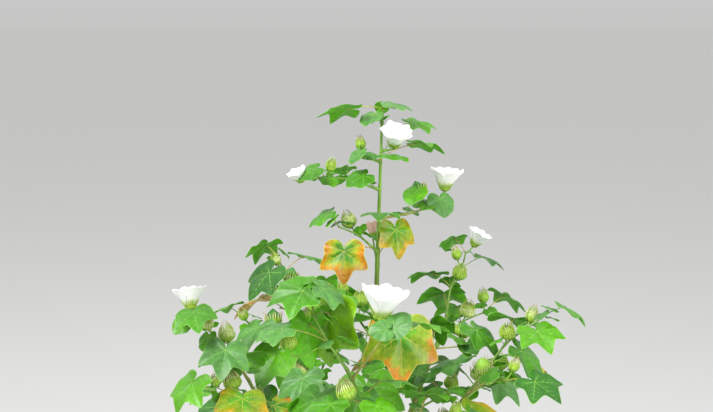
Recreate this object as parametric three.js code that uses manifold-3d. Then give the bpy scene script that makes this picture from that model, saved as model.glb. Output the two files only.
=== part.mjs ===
// A cotton plant in flower, rooted in the ground: a slender main stem, five long low boughs,
// and short fruiting shoots that carry lobed leaves on long stalks, white flowers, buds and bolls.
// Millimetres, +Z up, +X to the right and +Y away from the photograph's camera.
// The origin is the centre of the flat cut under the stem, at ground level.
import * as THREE from "three";
import { mergeVertices } from "three/addons/utils/BufferGeometryUtils.js";
import Module from "manifold-3d";

const wasm = await Module();
wasm.setup();

// Driving sizes
const STEM_HEIGHT = 1005;
const STEM_LEAN = 0.029;
const STEM_BOW = 5;
const STEM_RADIUS = 7.8;
const STEM_TIP_RADIUS = 2;
const STEM_TAPER = 1.6;
const FLARE = { radius: 5.5, height: 26 };
const STEM_SPACING = 1.5;
const CUT_DEPTH = 2;
const BOUGH_RADIUS = 5.6;
const BOUGH_TIP_RADIUS = 3.1;
const TWIG_RADIUS = 2.6;
const TWIG_TIP_RADIUS = 1.4;
const STALK_RADIUS = 1.25;
const STALK_STEPS = 2;
const SEAT_GAP = 0.5;
const ZIGZAG = 5;
const LEAF_THICKNESS = 0.03;
const LEAF_LENGTH = { low: 92, high: 58 };
const STALK_LENGTH = { low: 88, high: 48 };
const PEDUNCLE = 20;
const BOLL_WIDTH = 0.38;
const BUD_WIDTH = 0.3;
const BRACT_LENGTH = 40;
const BUD_SIZE = 34;
const CLEARANCE = 8.8;
const SAMPLE_STEP = 11;
const RADIAN = Math.PI / 180;

// Boughs: height where each leaves the stem, the point it bends towards, and its tip
const BOUGHS = {
  bough_front: { from: 150, bend: [54, -100, 382], tip: [-33, -250, 613] },
  bough_left: { from: 190, bend: [-130, -20, 330], tip: [-215, -70, 540] },
  bough_back_left: { from: 236, bend: [-70, 110, 370], tip: [-150, 185, 590] },
  bough_back_right: { from: 280, bend: [90, 90, 410], tip: [165, 175, 600] },
  bough_right: { from: 326, bend: [130, -30, 410], tip: [215, -85, 560] },
};

// Shoots that the photograph shows: limb, share of its length, tip, arch, fruit at each node
const SHOOTS_SEEN = [
  ["crown_tip", "main_stem", 1, [32, -2, 1034], 0, "-"],
  ["top_flower", "main_stem", 0.95, [52, -18, 962], -4, "-"],
  ["upper_pair", "main_stem", 0.931, [-6, -26, 947], 3, "s"],
  ["upper_left", "main_stem", 0.879, [-112, -48, 908], 12, "bs-"],
  ["right_flower", "main_stem", 0.825, [146, 30, 866], -10, "-b-"],
  ["left_bolls", "main_stem", 0.762, [-50, -46, 822], 6, "bb"],
  ["pink_back", "main_stem", 0.738, [14, 44, 782], 2, "-"],
  ["front_mid", "main_stem", 0.652, [48, -110, 640], 14, "-"],
  ["front_left", "bough_front", 1, [-93, -281, 755], -12, "---"],
  ["front_right", "bough_front", 0.955, [36, -284, 690], -3, "-"],
  ["front_low", "bough_front", 0.845, [-26, -262, 566], 2, "-"],
];

// Shoots that complete the crown: limb, share, bearing, rise, reach, fruit at each node
const SHOOTS_ROUND = [
  ["stem_a", "main_stem", 0.59, 118, 22, 165, "bs-"],
  ["stem_b", "main_stem", 0.535, 352, 18, 170, "bb"],
  ["stem_c", "main_stem", 0.48, 227, 16, 175, "--b"],
  ["stem_d", "main_stem", 0.425, 84, 14, 190, "-b-"],
  ["stem_e", "main_stem", 0.375, 318, 12, 180, "bb"],
  ["stem_f", "main_stem", 0.285, 244, 10, 150, "b-"],
  ["stem_g", "main_stem", 0.212, 84, 6, 150, "--"],
  ["stem_h", "main_stem", 0.25, 6, 8, 150, "b-"],
  ["front_a", "bough_front", 0.4, 205, 14, 130, "b-"],
  ["front_b", "bough_front", 0.62, 338, 20, 150, "bs"],
  ["front_c", "bough_front", 0.73, 198, 18, 120, "--"],
  ["left_a", "bough_left", 0.5, 245, 14, 140, "bb"],
  ["left_b", "bough_left", 0.68, 140, 24, 135, "b-"],
  ["left_c", "bough_left", 0.84, 222, 28, 125, "bs"],
  ["left_tip", "bough_left", 1, 176, 48, 150, "bsf"],
  ["back_left_a", "bough_back_left", 0.48, 188, 16, 140, "b-"],
  ["back_left_b", "bough_back_left", 0.66, 78, 22, 140, "bb"],
  ["back_left_c", "bough_back_left", 0.83, 170, 30, 130, "bs"],
  ["back_left_tip", "bough_back_left", 1, 112, 52, 145, "bs-"],
  ["back_right_a", "bough_back_right", 0.5, 10, 16, 140, "bb"],
  ["back_right_b", "bough_back_right", 0.67, 104, 20, 130, "b-"],
  ["back_right_c", "bough_back_right", 0.84, 22, 30, 130, "bs"],
  ["back_right_tip", "bough_back_right", 1, 62, 50, 150, "bsf"],
  ["right_a", "bough_right", 0.5, 292, 14, 140, "b-"],
  ["right_b", "bough_right", 0.67, 30, 22, 130, "bb"],
  ["right_c", "bough_right", 0.84, 300, 26, 125, "bs"],
  ["right_tip", "bough_right", 1, 350, 46, 150, "bs-"],
];

// Leaves that the photograph shows: shoot, node, end of the stalk, bearing, pitch, roll, length
const LEAVES_SEEN = [
  ["crown_tip", 0, [-32, -24, 1034], 187, -4, 22, 60],
  ["crown_tip", 0, [42, 4, 1043], 5, -8, 6, 46],
  ["crown_tip", 0, [12, -18, 1024], 235, -25, 0, 32],
  ["top_flower", -1, [40, -44, 953], 335, -4, 0, 40],
  ["top_flower", -1, [88, 44, 1004], 12, -6, 14, 50],
  ["upper_pair", -1, [94, -2, 970], 355, -8, -17, 54],
  ["upper_pair", 0, [-14, -40, 958], 215, -42, 0, 27],
  ["upper_left", -1, [-4, -40, 915], 204, -20, -22, 38],
  ["upper_left", 1, [-92, -66, 930], 190, -24, -20, 36],
  ["upper_left", 0, [-40, 22, 922], 150, -20, 10, 42],
  ["right_flower", -1, [25, -40, 846], 270, 6, 0, 52],
  ["right_flower", 1, [138, 4, 866], 292, -48, 0, 38],
  ["right_flower", 0, [92, -14, 884], 240, -34, 0, 34],
  ["left_bolls", 1, [-70, -40, 846], 184, -28, -10, 42],
  ["left_bolls", -1, [-40, -62, 779], 270, -72, 0, 60],
  ["pink_back", -1, [56, 14, 806], 300, -66, 0, 56],
  ["front_mid", 0, [60, -150, 648], 275, -70, 0, 92],
  ["front_left", 2, [-104, -288, 757], 186, -12, -26, 66],
  ["front_left", 2, [-72, -286, 760], 8, -30, 16, 52],
  ["front_left", 1, [-63, -232, 706], 226, -78, 0, 94],
  ["front_left", 0, [-96, -250, 692], 128, -82, 0, 76],
  ["front_left", 0, [-138, -304, 697], 192, -14, -8, 50],
  ["front_right", 0, [30, -328, 703], 186, -4, -42, 29],
  ["front_right", 0, [43, -322, 704], 12, 42, 38, 34],
  ["front_right", 0, [80, -266, 697], 8, -9, -12, 64],
  ["front_right", -1, [10, -204, 692], 60, -24, 0, 58],
  ["front_low", -1, [26, -243, 592], 352, 0, -16, 62],
  ["front_low", 0, [-60, -300, 570], 236, -22, 0, 50],
  ["front_low", 0, [16, -300, 566], 300, -30, 0, 46],
];

// Fruit that the photograph shows: shoot, node, kind, base, bearing and rise of its axis, size
const FRUIT_SEEN = [
  ["top_flower", 0, "f", [50, -21, 964], 285, 60, 58],
  ["upper_left", 2, "f", [-117, -51, 904], 212, 64, 36],
  ["right_flower", 2, "f", [147, 30, 877], 340, 82, 61],
  ["pink_back", 0, "p", [16, 50, 786], 120, 62, 34],
  ["front_left", 0, "b", [-128, -274, 653], 150, 82, 38],
  ["front_left", 1, "s", [-94, -276, 712], 200, 60, 18],
  ["front_right", 0, "f", [21, -292, 708], 325, 80, 77],
  ["front_low", 0, "b", [-30, -276, 568], 200, 72, 44],
];

// Half of a leaf's outline: angle from the middle lobe in degrees, and its reach as a share of
// its length in a large lobed leaf and in a small rounded one
const HALF_OUTLINE = [
  [28, 0.66, 0.86],
  [42, 0.75, 0.82],
  [55, 0.89, 0.79],
  [70, 0.71, 0.74],
  [112, 0.63, 0.64],
  [145, 0.46, 0.47],
];
const ROUNDED = { below: 56, span: 16 };
const LEAF_FOLD = 0.09;
const BASE_NOTCH = 0.07;
const MIDDLE_REACH = 0.13;
const LOBE_ANGLE = 55;

// Numbers between 0 and 1 that repeat for a given seed
function dice(seed) {
  let state = seed >>> 0;
  return () => {
    state = (Math.imul(state, 1664525) + 1013904223) >>> 0;
    return state / 4294967296;
  };
}

const vector = (p) => new THREE.Vector3(p[0], p[1], p[2]);
const along = (p, d, s) => p.clone().addScaledVector(d, s);
const mix = (a, b, t) => a + (b - a) * t;
const UP = vector([0, 0, 1]);

// Unit vector with a bearing from +X and a rise from level, in degrees
function heading(bearing, rise) {
  const level = Math.cos(rise * RADIAN);
  return vector([
    Math.cos(bearing * RADIAN) * level,
    Math.sin(bearing * RADIAN) * level,
    Math.sin(rise * RADIAN),
  ]);
}

// Point of the quadratic curve from a by way of m to b
function bent(a, m, b, t) {
  return a
    .clone()
    .multiplyScalar((1 - t) * (1 - t))
    .addScaledVector(m, 2 * t * (1 - t))
    .addScaledVector(b, t * t);
}

// Points at a spacing of about SAMPLE_STEP on a polyline, used to keep organs apart
function samples(points) {
  const found = [];
  for (let i = 1; i < points.length; i++) {
    const span = points[i].distanceTo(points[i - 1]);
    const count = Math.max(1, Math.ceil(span / SAMPLE_STEP));
    for (let k = 0; k < count; k++)
      found.push(points[i - 1].clone().lerp(points[i], k / count));
  }
  found.push(points[points.length - 1].clone());
  return found;
}

// Centre of the main stem at a height
function stemPoint(z) {
  return vector([
    STEM_LEAN * z,
    STEM_BOW * Math.sin((Math.PI * z) / STEM_HEIGHT),
    z,
  ]);
}

function stemRadius(z) {
  const share = Math.max(0, z / STEM_HEIGHT);
  const taper = mix(STEM_RADIUS, STEM_TIP_RADIUS, Math.pow(share, STEM_TAPER));
  return taper + FLARE.radius * Math.exp(-z / (FLARE.height * 0.45));
}

// Limbs: centre line and radius as functions of the share of its length, and the share that
// each ring takes. The stem's rings are closer at its flare, and it starts below its flat cut.
function makeLimbs() {
  const limbs = {
    main_stem: {
      centre: (t) => stemPoint(t * STEM_HEIGHT),
      radius: (t) => stemRadius(t * STEM_HEIGHT),
      share: (i) => (i ? Math.pow(i / 20, STEM_SPACING) : -CUT_DEPTH / STEM_HEIGHT),
      steps: 20,
      sides: 8,
    },
  };
  for (const [name, { from, bend, tip }] of Object.entries(BOUGHS)) {
    const start = stemPoint(from);
    limbs[name] = {
      centre: (t) => bent(start, vector(bend), vector(tip), t),
      radius: (t) => mix(BOUGH_RADIUS, BOUGH_TIP_RADIUS, t),
      share: (i) => i / 10,
      steps: 10,
      sides: 6,
    };
  }
  return limbs;
}

// Closed tube round a line of points, with a flat cap at each end
function tube(points, radii, sides) {
  const chord = points[points.length - 1].clone().sub(points[0]).normalize();
  const reference = Math.abs(chord.z) > 0.7 ? vector([1, 0, 0]) : UP;
  const rings = points.map((p, i) => {
    const ahead = points[Math.min(i + 1, points.length - 1)];
    const behind = points[Math.max(i - 1, 0)];
    const run = ahead.clone().sub(behind).normalize();
    const side = new THREE.Vector3().crossVectors(reference, run).normalize();
    const other = new THREE.Vector3().crossVectors(run, side);
    return [...Array(sides).keys()].map((k) => {
      const turn = (2 * Math.PI * k) / sides;
      return along(p, side, radii[i] * Math.cos(turn)).addScaledVector(
        other,
        radii[i] * Math.sin(turn),
      );
    });
  });
  return skin(rings);
}

// Closed body over rings of equally many points, with a cap over the first and the last ring
function skin(rings) {
  const sides = rings[0].length;
  const last = (rings.length - 1) * sides;
  const faces = [];
  for (let i = 0; i < rings.length - 1; i++)
    for (let k = 0; k < sides; k++) {
      const a = i * sides + k;
      const b = i * sides + ((k + 1) % sides);
      faces.push([a, b, b + sides], [a, b + sides, a + sides]);
    }
  for (let k = 1; k < sides - 1; k++) {
    faces.push([0, k + 1, k]);
    faces.push([last, last + k, last + k + 1]);
  }
  return solid(rings.flat(), faces);
}

// A closed surface of points and triangles as a solid that can be joined and cut
function solid(positions, faces) {
  const geometry = new THREE.BufferGeometry().setFromPoints(positions);
  geometry.setIndex(faces.flat());
  const merged = mergeVertices(geometry, 1e-4);
  return new wasm.Manifold(
    new wasm.Mesh({
      numProp: 3,
      vertProperties: new Float32Array(merged.attributes.position.array),
      triVerts: new Uint32Array(merged.index.array),
    }),
  );
}

// A thin blade: a rim of points, thickest at a middle point inside it, facing along out
function blade(rim, middle, out, thickness) {
  const count = rim.length;
  const positions = [
    ...rim,
    along(middle, out, thickness / 2),
    along(middle, out, -thickness / 2),
  ];
  const faces = [];
  for (let i = 0; i < count; i++) {
    const next = (i + 1) % count;
    faces.push([count, i, next], [count + 1, next, i]);
  }
  return solid(positions, faces);
}

// A leaf's frame: where its stalk ends, its middle lobe's direction, its left side and its face
function leafFrame(at, bearing, pitch, roll, length) {
  const u = heading(bearing, pitch);
  const level = heading(bearing + 90, 0);
  const face = new THREE.Vector3().crossVectors(u, level);
  const w = level.clone().multiplyScalar(Math.cos(roll * RADIAN));
  w.addScaledVector(face, Math.sin(roll * RADIAN));
  const n = new THREE.Vector3().crossVectors(u, w);
  return { at, u, w, n, length };
}

// Point of a leaf's curved face at an angle from its middle lobe and a share of its length
function leafPoint(leaf, angle, reach, bend) {
  const fold = Math.pow(Math.sin((Math.PI * angle) / LOBE_ANGLE), 2);
  const rise = LEAF_FOLD * reach * fold - bend * reach * reach;
  return leaf.at
    .clone()
    .addScaledVector(leaf.u, leaf.length * reach * Math.cos(angle * RADIAN))
    .addScaledVector(leaf.w, leaf.length * reach * Math.sin(angle * RADIAN))
    .addScaledVector(leaf.n, leaf.length * rise);
}

// Rim of a leaf of some length as angles and reaches; the smaller the leaf, the shallower its lobes
function leafOutline(length) {
  const small = Math.min(1, Math.max(0, (ROUNDED.below - length) / ROUNDED.span));
  const left = HALF_OUTLINE.map(([angle, lobed, round]) => [angle, mix(lobed, round, small)]);
  const right = left.map(([angle, reach]) => [-angle, reach]).reverse();
  return [[0, 1], ...left, [180, BASE_NOTCH], ...right];
}

function leafRim(leaf, bend) {
  return leafOutline(leaf.length).map(([angle, reach]) =>
    leafPoint(leaf, angle, reach, bend),
  );
}

// Points spread over a leaf, used to keep it apart from its neighbours
function leafSamples(leaf, bend) {
  const found = [leaf.at.clone()];
  for (const [angle, reach] of leafOutline(leaf.length)) {
    const count = Math.ceil((leaf.length * reach) / SAMPLE_STEP);
    for (let k = 1; k <= count; k++)
      found.push(leafPoint(leaf, angle, (reach * k) / count, bend));
  }
  return found;
}

// Stalk from a node to the foot of a blade: it leaves upwards and arches over
function stalkLine(from, to, steps) {
  const span = to.distanceTo(from);
  const middle = from.clone().lerp(to, 0.5);
  middle.addScaledVector(UP, 0.14 * span);
  const points = [];
  for (let i = 0; i <= steps; i++) points.push(bent(from, middle, to, i / steps));
  return points;
}

// Two directions square to an axis
function across(axis) {
  const reference = Math.abs(axis.z) > 0.9 ? vector([1, 0, 0]) : UP;
  const side = new THREE.Vector3().crossVectors(reference, axis).normalize();
  return [side, new THREE.Vector3().crossVectors(axis, side)];
}

// Point on a surface of revolution round a fruit's axis
function roundPoint(fruit, turn, radius, height) {
  const [side, other] = across(fruit.axis);
  return along(fruit.base, fruit.axis, height)
    .addScaledVector(side, radius * Math.cos(turn * RADIAN))
    .addScaledVector(other, radius * Math.sin(turn * RADIAN));
}

// A closed body round a fruit's axis; each ring gives every point's radius and height
function turned(fruit, sides, rings) {
  const points = rings.map((ring) =>
    [...Array(sides).keys()].map((k) => {
      const [radius, height] = ring(k);
      return roundPoint(fruit, 20 + (360 * k) / sides, radius, height);
    }),
  );
  return skin(points);
}

// Three bracts closed over a boll or a bud: a broad foot that narrows to a pointed tip
function closedBracts(fruit, bulge) {
  const length = fruit.size;
  return turned(fruit, 6, [
    () => [3, 0],
    () => [bulge, length * 0.33],
    (k) => [bulge * (k % 2 ? 0.62 : 0.74), length * 0.7],
    () => [1, length],
  ]);
}

// Three open bracts that flare round the foot of a flower, with three tips and three notches
function openBracts(fruit, size) {
  return turned(fruit, 6, [
    () => [3, 0],
    () => [size * 0.16, size * 0.08],
    (k) => (k % 2 ? [size * 0.22, size * 0.2] : [size * 0.3, size * 0.32]),
    () => [3, size * 0.15],
  ]);
}

// A cup of five petals, one body with a ruffled rim; close is 0 when open and more when furled
function flower(fruit, close) {
  const rim = (fruit.size / 2) * (1 - 0.6 * close);
  const height = fruit.size * 0.67 * (1 + 0.4 * close);
  const cup = turned(fruit, 10, [
    () => [3.5, 2],
    (k) => [rim * (k % 2 ? 0.66 : 0.72), height * 0.42],
    (k) => [rim * (k % 2 ? 0.9 : 1), height * (k % 2 ? 0.9 : 1)],
    (k) => [rim * (k % 2 ? 0.56 : 0.6), height * 0.5],
    () => [2, height * 0.16],
  ]);
  return [cup, openBracts(fruit, fruit.size * (1 - 0.2 * close))];
}

function fruitSolids(fruit) {
  if (fruit.kind === "f") return flower(fruit, 0);
  if (fruit.kind === "p") return flower(fruit, 0.5);
  return [closedBracts(fruit, fruit.size * (fruit.kind === "b" ? BOLL_WIDTH : BUD_WIDTH))];
}

// Centre and radius of the ball that a fruit keeps to
function fruitBall(fruit) {
  const share = fruit.kind === "f" ? 0.42 : 0.5;
  return {
    centre: along(fruit.base, fruit.axis, fruit.size * share),
    radius: fruit.size * (fruit.kind === "f" ? 0.5 : 0.42),
  };
}

// Record of what is placed, so that each later organ can keep clear of it
const placed = [];

function record(mass, kind, points, radius) {
  placed.push({ mass, kind, points, radius });
}

function isClear(points, radius, skip) {
  for (const set of placed) {
    if (skip(set)) continue;
    const gap = CLEARANCE + set.radius + radius;
    for (const a of set.points)
      for (const b of points)
        if (Math.abs(a.x - b.x) < gap && a.distanceToSquared(b) < gap * gap)
          return false;
  }
  return true;
}

// A shoot's centre line: an arched, zigzag twig with a node at the end of each length
function shootLine(start, tip, arch, count) {
  const chord = tip.clone().sub(start);
  const run = chord.clone().normalize();
  const lift = UP.clone().addScaledVector(run, -run.z).normalize();
  const side = new THREE.Vector3().crossVectors(run, lift);
  const nodes = [];
  for (let k = 0; k < count; k++) {
    const share = Math.pow((k + 1) / count, 0.8);
    const swing = k === count - 1 ? 0 : ZIGZAG * (k % 2 ? 1 : -1);
    nodes.push(
      along(start, chord, share)
        .addScaledVector(lift, 4 * arch * share * (1 - share))
        .addScaledVector(side, swing),
    );
  }
  return nodes;
}

function makeShoots(limbs) {
  const shoots = [];
  const add = (name, limbName, share, tip, arch, fruit, seen) => {
    const start = limbs[limbName].centre(share);
    const target = tip(start);
    const nodes = shootLine(start, target, arch, fruit.length);
    const bearing = Math.atan2(target.y - start.y, target.x - start.x) / RADIAN;
    const roll = dice(4000 + 77 * shoots.length);
    shoots.push({ name, limbName, share, start, nodes, fruit, bearing, roll, seen });
  };
  for (const [name, limb, share, tip, arch, fruit] of SHOOTS_SEEN)
    add(name, limb, share, () => vector(tip), arch, fruit, true);
  for (const [name, limb, share, bearing, rise, reach, fruit] of SHOOTS_ROUND)
    add(name, limb, share, (s) => along(s, heading(bearing, rise), reach), 10, fruit, false);
  return shoots;
}

const nodePoint = (shoot, node) =>
  node >= 0 ? shoot.nodes[node] : shoot.start.clone().lerp(shoot.nodes[0], 0.2);

function placeSeen(shoots) {
  const byName = new Map(shoots.map((s) => [s.name, s]));
  for (const [name, node, kind, base, bearing, rise, size] of FRUIT_SEEN) {
    const shoot = byName.get(name);
    const from = nodePoint(shoot, node);
    addFruit(shoot, from, { kind, base: vector(base), axis: heading(bearing, rise), size });
  }
  for (const [name, node, at, bearing, pitch, roll, length] of LEAVES_SEEN) {
    const shoot = byName.get(name);
    const leaf = leafFrame(vector(at), bearing, pitch, roll, length);
    addLeaf(shoot, nodePoint(shoot, node), leaf, 0.2);
  }
}

function addFruit(shoot, from, fruit) {
  const ball = fruitBall(fruit);
  record(shoot.name, "fruit", [ball.centre], ball.radius);
  shoot.fruits.push({ from, fruit });
}

function addLeaf(shoot, from, leaf, bend) {
  const stalk = stalkLine(from, leaf.at, STALK_STEPS);
  record(shoot.name, "blade", leafSamples(leaf, bend), 0);
  record(shoot.name, "twig", samples(stalk), STALK_RADIUS);
  shoot.leaves.push({ stalk, leaf, bend });
}

// Fruit on a short stalk on the side of the node away from its leaf
function growFruit(shoot) {
  [...shoot.fruit].forEach((kind, node) => {
    const draws = [shoot.roll(), shoot.roll(), shoot.roll()];
    if (kind === "-") return;
    const side = node % 2 ? 1 : -1;
    const from = shoot.nodes[node];
    for (let attempt = 0; attempt < 8; attempt++) {
      const turn = side * (48 + 30 * draws[0]) + 45 * attempt;
      const toward = heading(shoot.bearing + turn, 38 + 24 * draws[1]);
      const base = along(from, toward, PEDUNCLE);
      const axis = heading(shoot.bearing + turn, 58 + 20 * draws[1]);
      const size = { b: BRACT_LENGTH, s: BUD_SIZE, f: 62 }[kind] * mix(0.85, 1.08, draws[2]);
      const fruit = { kind, base, axis, size };
      const ball = fruitBall(fruit);
      const others = (set) => set.mass === shoot.name && set.kind === "twig";
      if (!isClear([ball.centre], ball.radius - 3, others)) continue;
      if (!isClear(samples([from, base]).slice(1), STALK_RADIUS, others)) continue;
      addFruit(shoot, from, fruit);
      break;
    }
  });
}

// Leaves of a shoot: a large one beside the limb and one at each node, on alternate sides.
// A leaf turns about its node until it is clear, and is left out if it never is.
function growLeaves(shoot) {
  for (let node = -1; node < shoot.nodes.length; node++) {
    const draws = [0, 1, 2, 3, 4, 5].map(() => shoot.roll());
    const from = nodePoint(shoot, node);
    const age = Math.min(1, from.z / STEM_HEIGHT);
    const outer = node < 0 ? 1.12 : 1 - 0.1 * node;
    const length = mix(LEAF_LENGTH.low, LEAF_LENGTH.high, age) * outer * mix(0.82, 1.1, draws[0]);
    const reach = mix(STALK_LENGTH.low, STALK_LENGTH.high, age) * outer * mix(0.8, 1.15, draws[1]);
    const side = node % 2 ? -1 : 1;
    const spread = node < 0 ? -40 * side : node === shoot.nodes.length - 1 ? 12 : 62 * side;
    for (let attempt = 0; attempt < 14; attempt++) {
      const swing = ((attempt + 1) >> 1) * (attempt % 2 ? 17 : -17);
      const bearing = shoot.bearing + spread + swing + 24 * (draws[2] - 0.5);
      const rise = 26 + 22 * draws[3] + 16 * ((attempt % 3) - 1);
      const at = along(from, heading(bearing, rise), reach);
      const pitch = -14 - 30 * draws[4];
      const leaf = leafFrame(at, bearing + 16 * (draws[5] - 0.5), pitch, 26 * (draws[5] - 0.5), length);
      const bend = 0.12 + 0.14 * draws[3];
      const stalk = samples(stalkLine(from, at, STALK_STEPS)).slice(2);
      const own = (set) => set.mass === shoot.name && set.kind === "twig";
      if (!isClear(leafSamples(leaf, bend), 0, () => false)) continue;
      if (!isClear(stalk, STALK_RADIUS, own)) continue;
      addLeaf(shoot, from, leaf, bend);
      break;
    }
  }
}

// Everything that grows, worked out before any solid is made
function growPlant() {
  const limbs = makeLimbs();
  for (const [name, limb] of Object.entries(limbs)) {
    const shares = [...Array(limb.steps + 1).keys()].map(limb.share);
    limb.points = shares.map(limb.centre);
    limb.radii = shares.map(limb.radius);
    record(name, "limb", samples(limb.points), limb.radii[limb.steps / 2]);
  }
  const shoots = makeShoots(limbs);
  for (const shoot of shoots) {
    Object.assign(shoot, { fruits: [], leaves: [] });
    const line = samples([shoot.start, ...shoot.nodes]).slice(2);
    record(shoot.name, "twig", line, TWIG_RADIUS);
  }
  placeSeen(shoots);
  shoots.forEach(growFruit);
  shoots.filter((s) => !s.seen).forEach(growLeaves);
  return { limbs, shoots };
}

// The union of several solids, kept as its one outer body with no sealed hollow or loose scrap
function fused(parts) {
  const joined = wasm.Manifold.union(parts).simplify(0.1);
  return joined
    .decompose()
    .reduce((best, body) => (body.volume() > best.volume() ? body : best));
}

function shootSolid(shoot) {
  const line = [shoot.start, ...shoot.nodes];
  const radii = line.map((_, i) => mix(TWIG_RADIUS, TWIG_TIP_RADIUS, i / shoot.nodes.length));
  const parts = [tube(line, radii, 3)];
  for (const { stalk, leaf, bend } of shoot.leaves) {
    parts.push(tube(stalk, stalk.map(() => STALK_RADIUS), 3));
    const middle = leafPoint(leaf, 0, MIDDLE_REACH, bend);
    parts.push(blade(leafRim(leaf, bend), middle, leaf.n, leaf.length * LEAF_THICKNESS));
  }
  for (const { from, fruit } of shoot.fruits) {
    parts.push(tube([from, fruit.base], [STALK_RADIUS * 1.2, STALK_RADIUS * 1.2], 3));
    parts.push(...fruitSolids(fruit));
  }
  return parts;
}

// A limb's solid, or the same grown by a gap all round and at its tip to cut a seat with
function limbSolid(limb, gap) {
  const points = [...limb.points];
  const end = points[points.length - 1];
  const run = end.clone().sub(points[points.length - 2]).normalize();
  points[points.length - 1] = along(end, run, gap);
  return tube(
    points,
    limb.radii.map((r) => r + gap),
    limb.sides,
  );
}

function material(color, roughness) {
  return new THREE.MeshStandardMaterial({ color, roughness, metalness: 0 });
}

const MATERIALS = {
  stem: material(0x7d8a4a, 0.7),
  bough: material(0x8a7a45, 0.7),
  foliage: material(0x4fa02c, 0.55),
};

function meshOf(name, body, look) {
  const { vertProperties, triVerts } = body.getMesh();
  const geometry = new THREE.BufferGeometry();
  geometry.setAttribute("position", new THREE.BufferAttribute(vertProperties, 3));
  geometry.setIndex(new THREE.BufferAttribute(triVerts, 1));
  const mesh = new THREE.Mesh(geometry, look);
  mesh.name = name;
  return mesh;
}

const { limbs, shoots } = growPlant();
const plant = new THREE.Group();
const stemCut = limbSolid(limbs.main_stem, SEAT_GAP);
const stem = limbSolid(limbs.main_stem, 0).trimByPlane([0, 0, 1], 0);
plant.add(meshOf("main_stem", stem, MATERIALS.stem));
for (const name of Object.keys(BOUGHS))
  plant.add(meshOf(name, fused([limbSolid(limbs[name], 0).subtract(stemCut)]), MATERIALS.bough));
for (const shoot of shoots) {
  const cut = limbSolid(limbs[shoot.limbName], SEAT_GAP);
  const body = wasm.Manifold.union(shootSolid(shoot)).subtract(cut);
  plant.add(meshOf(shoot.name, fused([body]), MATERIALS.foliage));
}

export default plant;
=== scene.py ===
# A cotton plant in flower: bark, twigs, lobed leaves, petals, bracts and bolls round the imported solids.
# The plant grows here by the same rule as its solids, in millimetres, and is carried on to finer twigs.
import math
from types import SimpleNamespace

import bpy
import numpy as np
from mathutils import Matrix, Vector

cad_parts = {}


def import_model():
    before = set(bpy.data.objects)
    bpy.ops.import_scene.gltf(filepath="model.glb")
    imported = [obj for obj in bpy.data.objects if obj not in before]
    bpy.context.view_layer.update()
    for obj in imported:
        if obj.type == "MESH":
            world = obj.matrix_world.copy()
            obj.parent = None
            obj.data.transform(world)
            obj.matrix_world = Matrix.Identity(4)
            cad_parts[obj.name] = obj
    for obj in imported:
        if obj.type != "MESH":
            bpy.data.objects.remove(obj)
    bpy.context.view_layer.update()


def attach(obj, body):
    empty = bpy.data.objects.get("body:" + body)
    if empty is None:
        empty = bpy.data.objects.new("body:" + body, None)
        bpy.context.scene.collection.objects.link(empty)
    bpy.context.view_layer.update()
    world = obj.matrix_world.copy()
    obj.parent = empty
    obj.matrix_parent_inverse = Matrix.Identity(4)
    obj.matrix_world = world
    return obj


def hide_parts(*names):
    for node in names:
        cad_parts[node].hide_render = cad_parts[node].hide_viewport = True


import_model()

# Sizes of the solids, and settings of the rule that places their leaves and fruit
STEM_HEIGHT = 1005
STEM_LEAN = 0.029
STEM_BOW = 5
STEM_RADIUS = 7.8
STEM_TIP_RADIUS = 2
STEM_TAPER = 1.6
FLARE_RADIUS = 5.5
FLARE_HEIGHT = 26
STEM_SPACING = 1.5
CUT_DEPTH = 2
BOUGH_RADIUS = 5.6
BOUGH_TIP_RADIUS = 3.1
TWIG_RADIUS = 2.6
TWIG_TIP_RADIUS = 1.4
STALK_RADIUS = 1.25
STALK_STEPS = 2
ZIGZAG = 5
ROUND_ARCH = 10
LEAF_LENGTH = (92, 58)
STALK_LENGTH = (88, 48)
PEDUNCLE = 20
BOLL_WIDTH = 0.38
BUD_WIDTH = 0.3
BRACT_LENGTH = 40
BUD_SIZE = 34
FLOWER_SIZE = 62
CLEARANCE = 8.8
SAMPLE_STEP = 11
LEAF_BEND = 0.2
LEAF_TRIES = 14
FRUIT_TRIES = 8
RAD = math.pi / 180
UP = np.array([0.0, 0.0, 1.0])

# Each wave starts at a phase drawn from 0 up to this, about a full turn
ANY_PHASE = 6.3

# Boughs: height where each leaves the stem, the point it bends towards, and its tip
BOUGHS = {
    "bough_front": (150, (54, -100, 382), (-33, -250, 613)),
    "bough_left": (190, (-130, -20, 330), (-215, -70, 540)),
    "bough_back_left": (236, (-70, 110, 370), (-150, 185, 590)),
    "bough_back_right": (280, (90, 90, 410), (165, 175, 600)),
    "bough_right": (326, (130, -30, 410), (215, -85, 560)),
}

# Shoots that the photograph shows, by limb: share of its length, tip, arch, fruit at each node
SHOOTS_SEEN = {
    "main_stem": [
        ("crown_tip", 1, (32, -2, 1034), 0, "-"),
        ("top_flower", 0.95, (52, -18, 962), -4, "-"),
        ("upper_pair", 0.931, (-6, -26, 947), 3, "s"),
        ("upper_left", 0.879, (-112, -48, 908), 12, "bs-"),
        ("right_flower", 0.825, (146, 30, 866), -10, "-b-"),
        ("left_bolls", 0.762, (-50, -46, 822), 6, "bb"),
        ("pink_back", 0.738, (14, 44, 782), 2, "-"),
        ("front_mid", 0.652, (48, -110, 640), 14, "-"),
    ],
    "bough_front": [
        ("front_left", 1, (-93, -281, 755), -12, "---"),
        ("front_right", 0.955, (36, -284, 690), -3, "-"),
        ("front_low", 0.845, (-26, -262, 566), 2, "-"),
    ],
}

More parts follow.
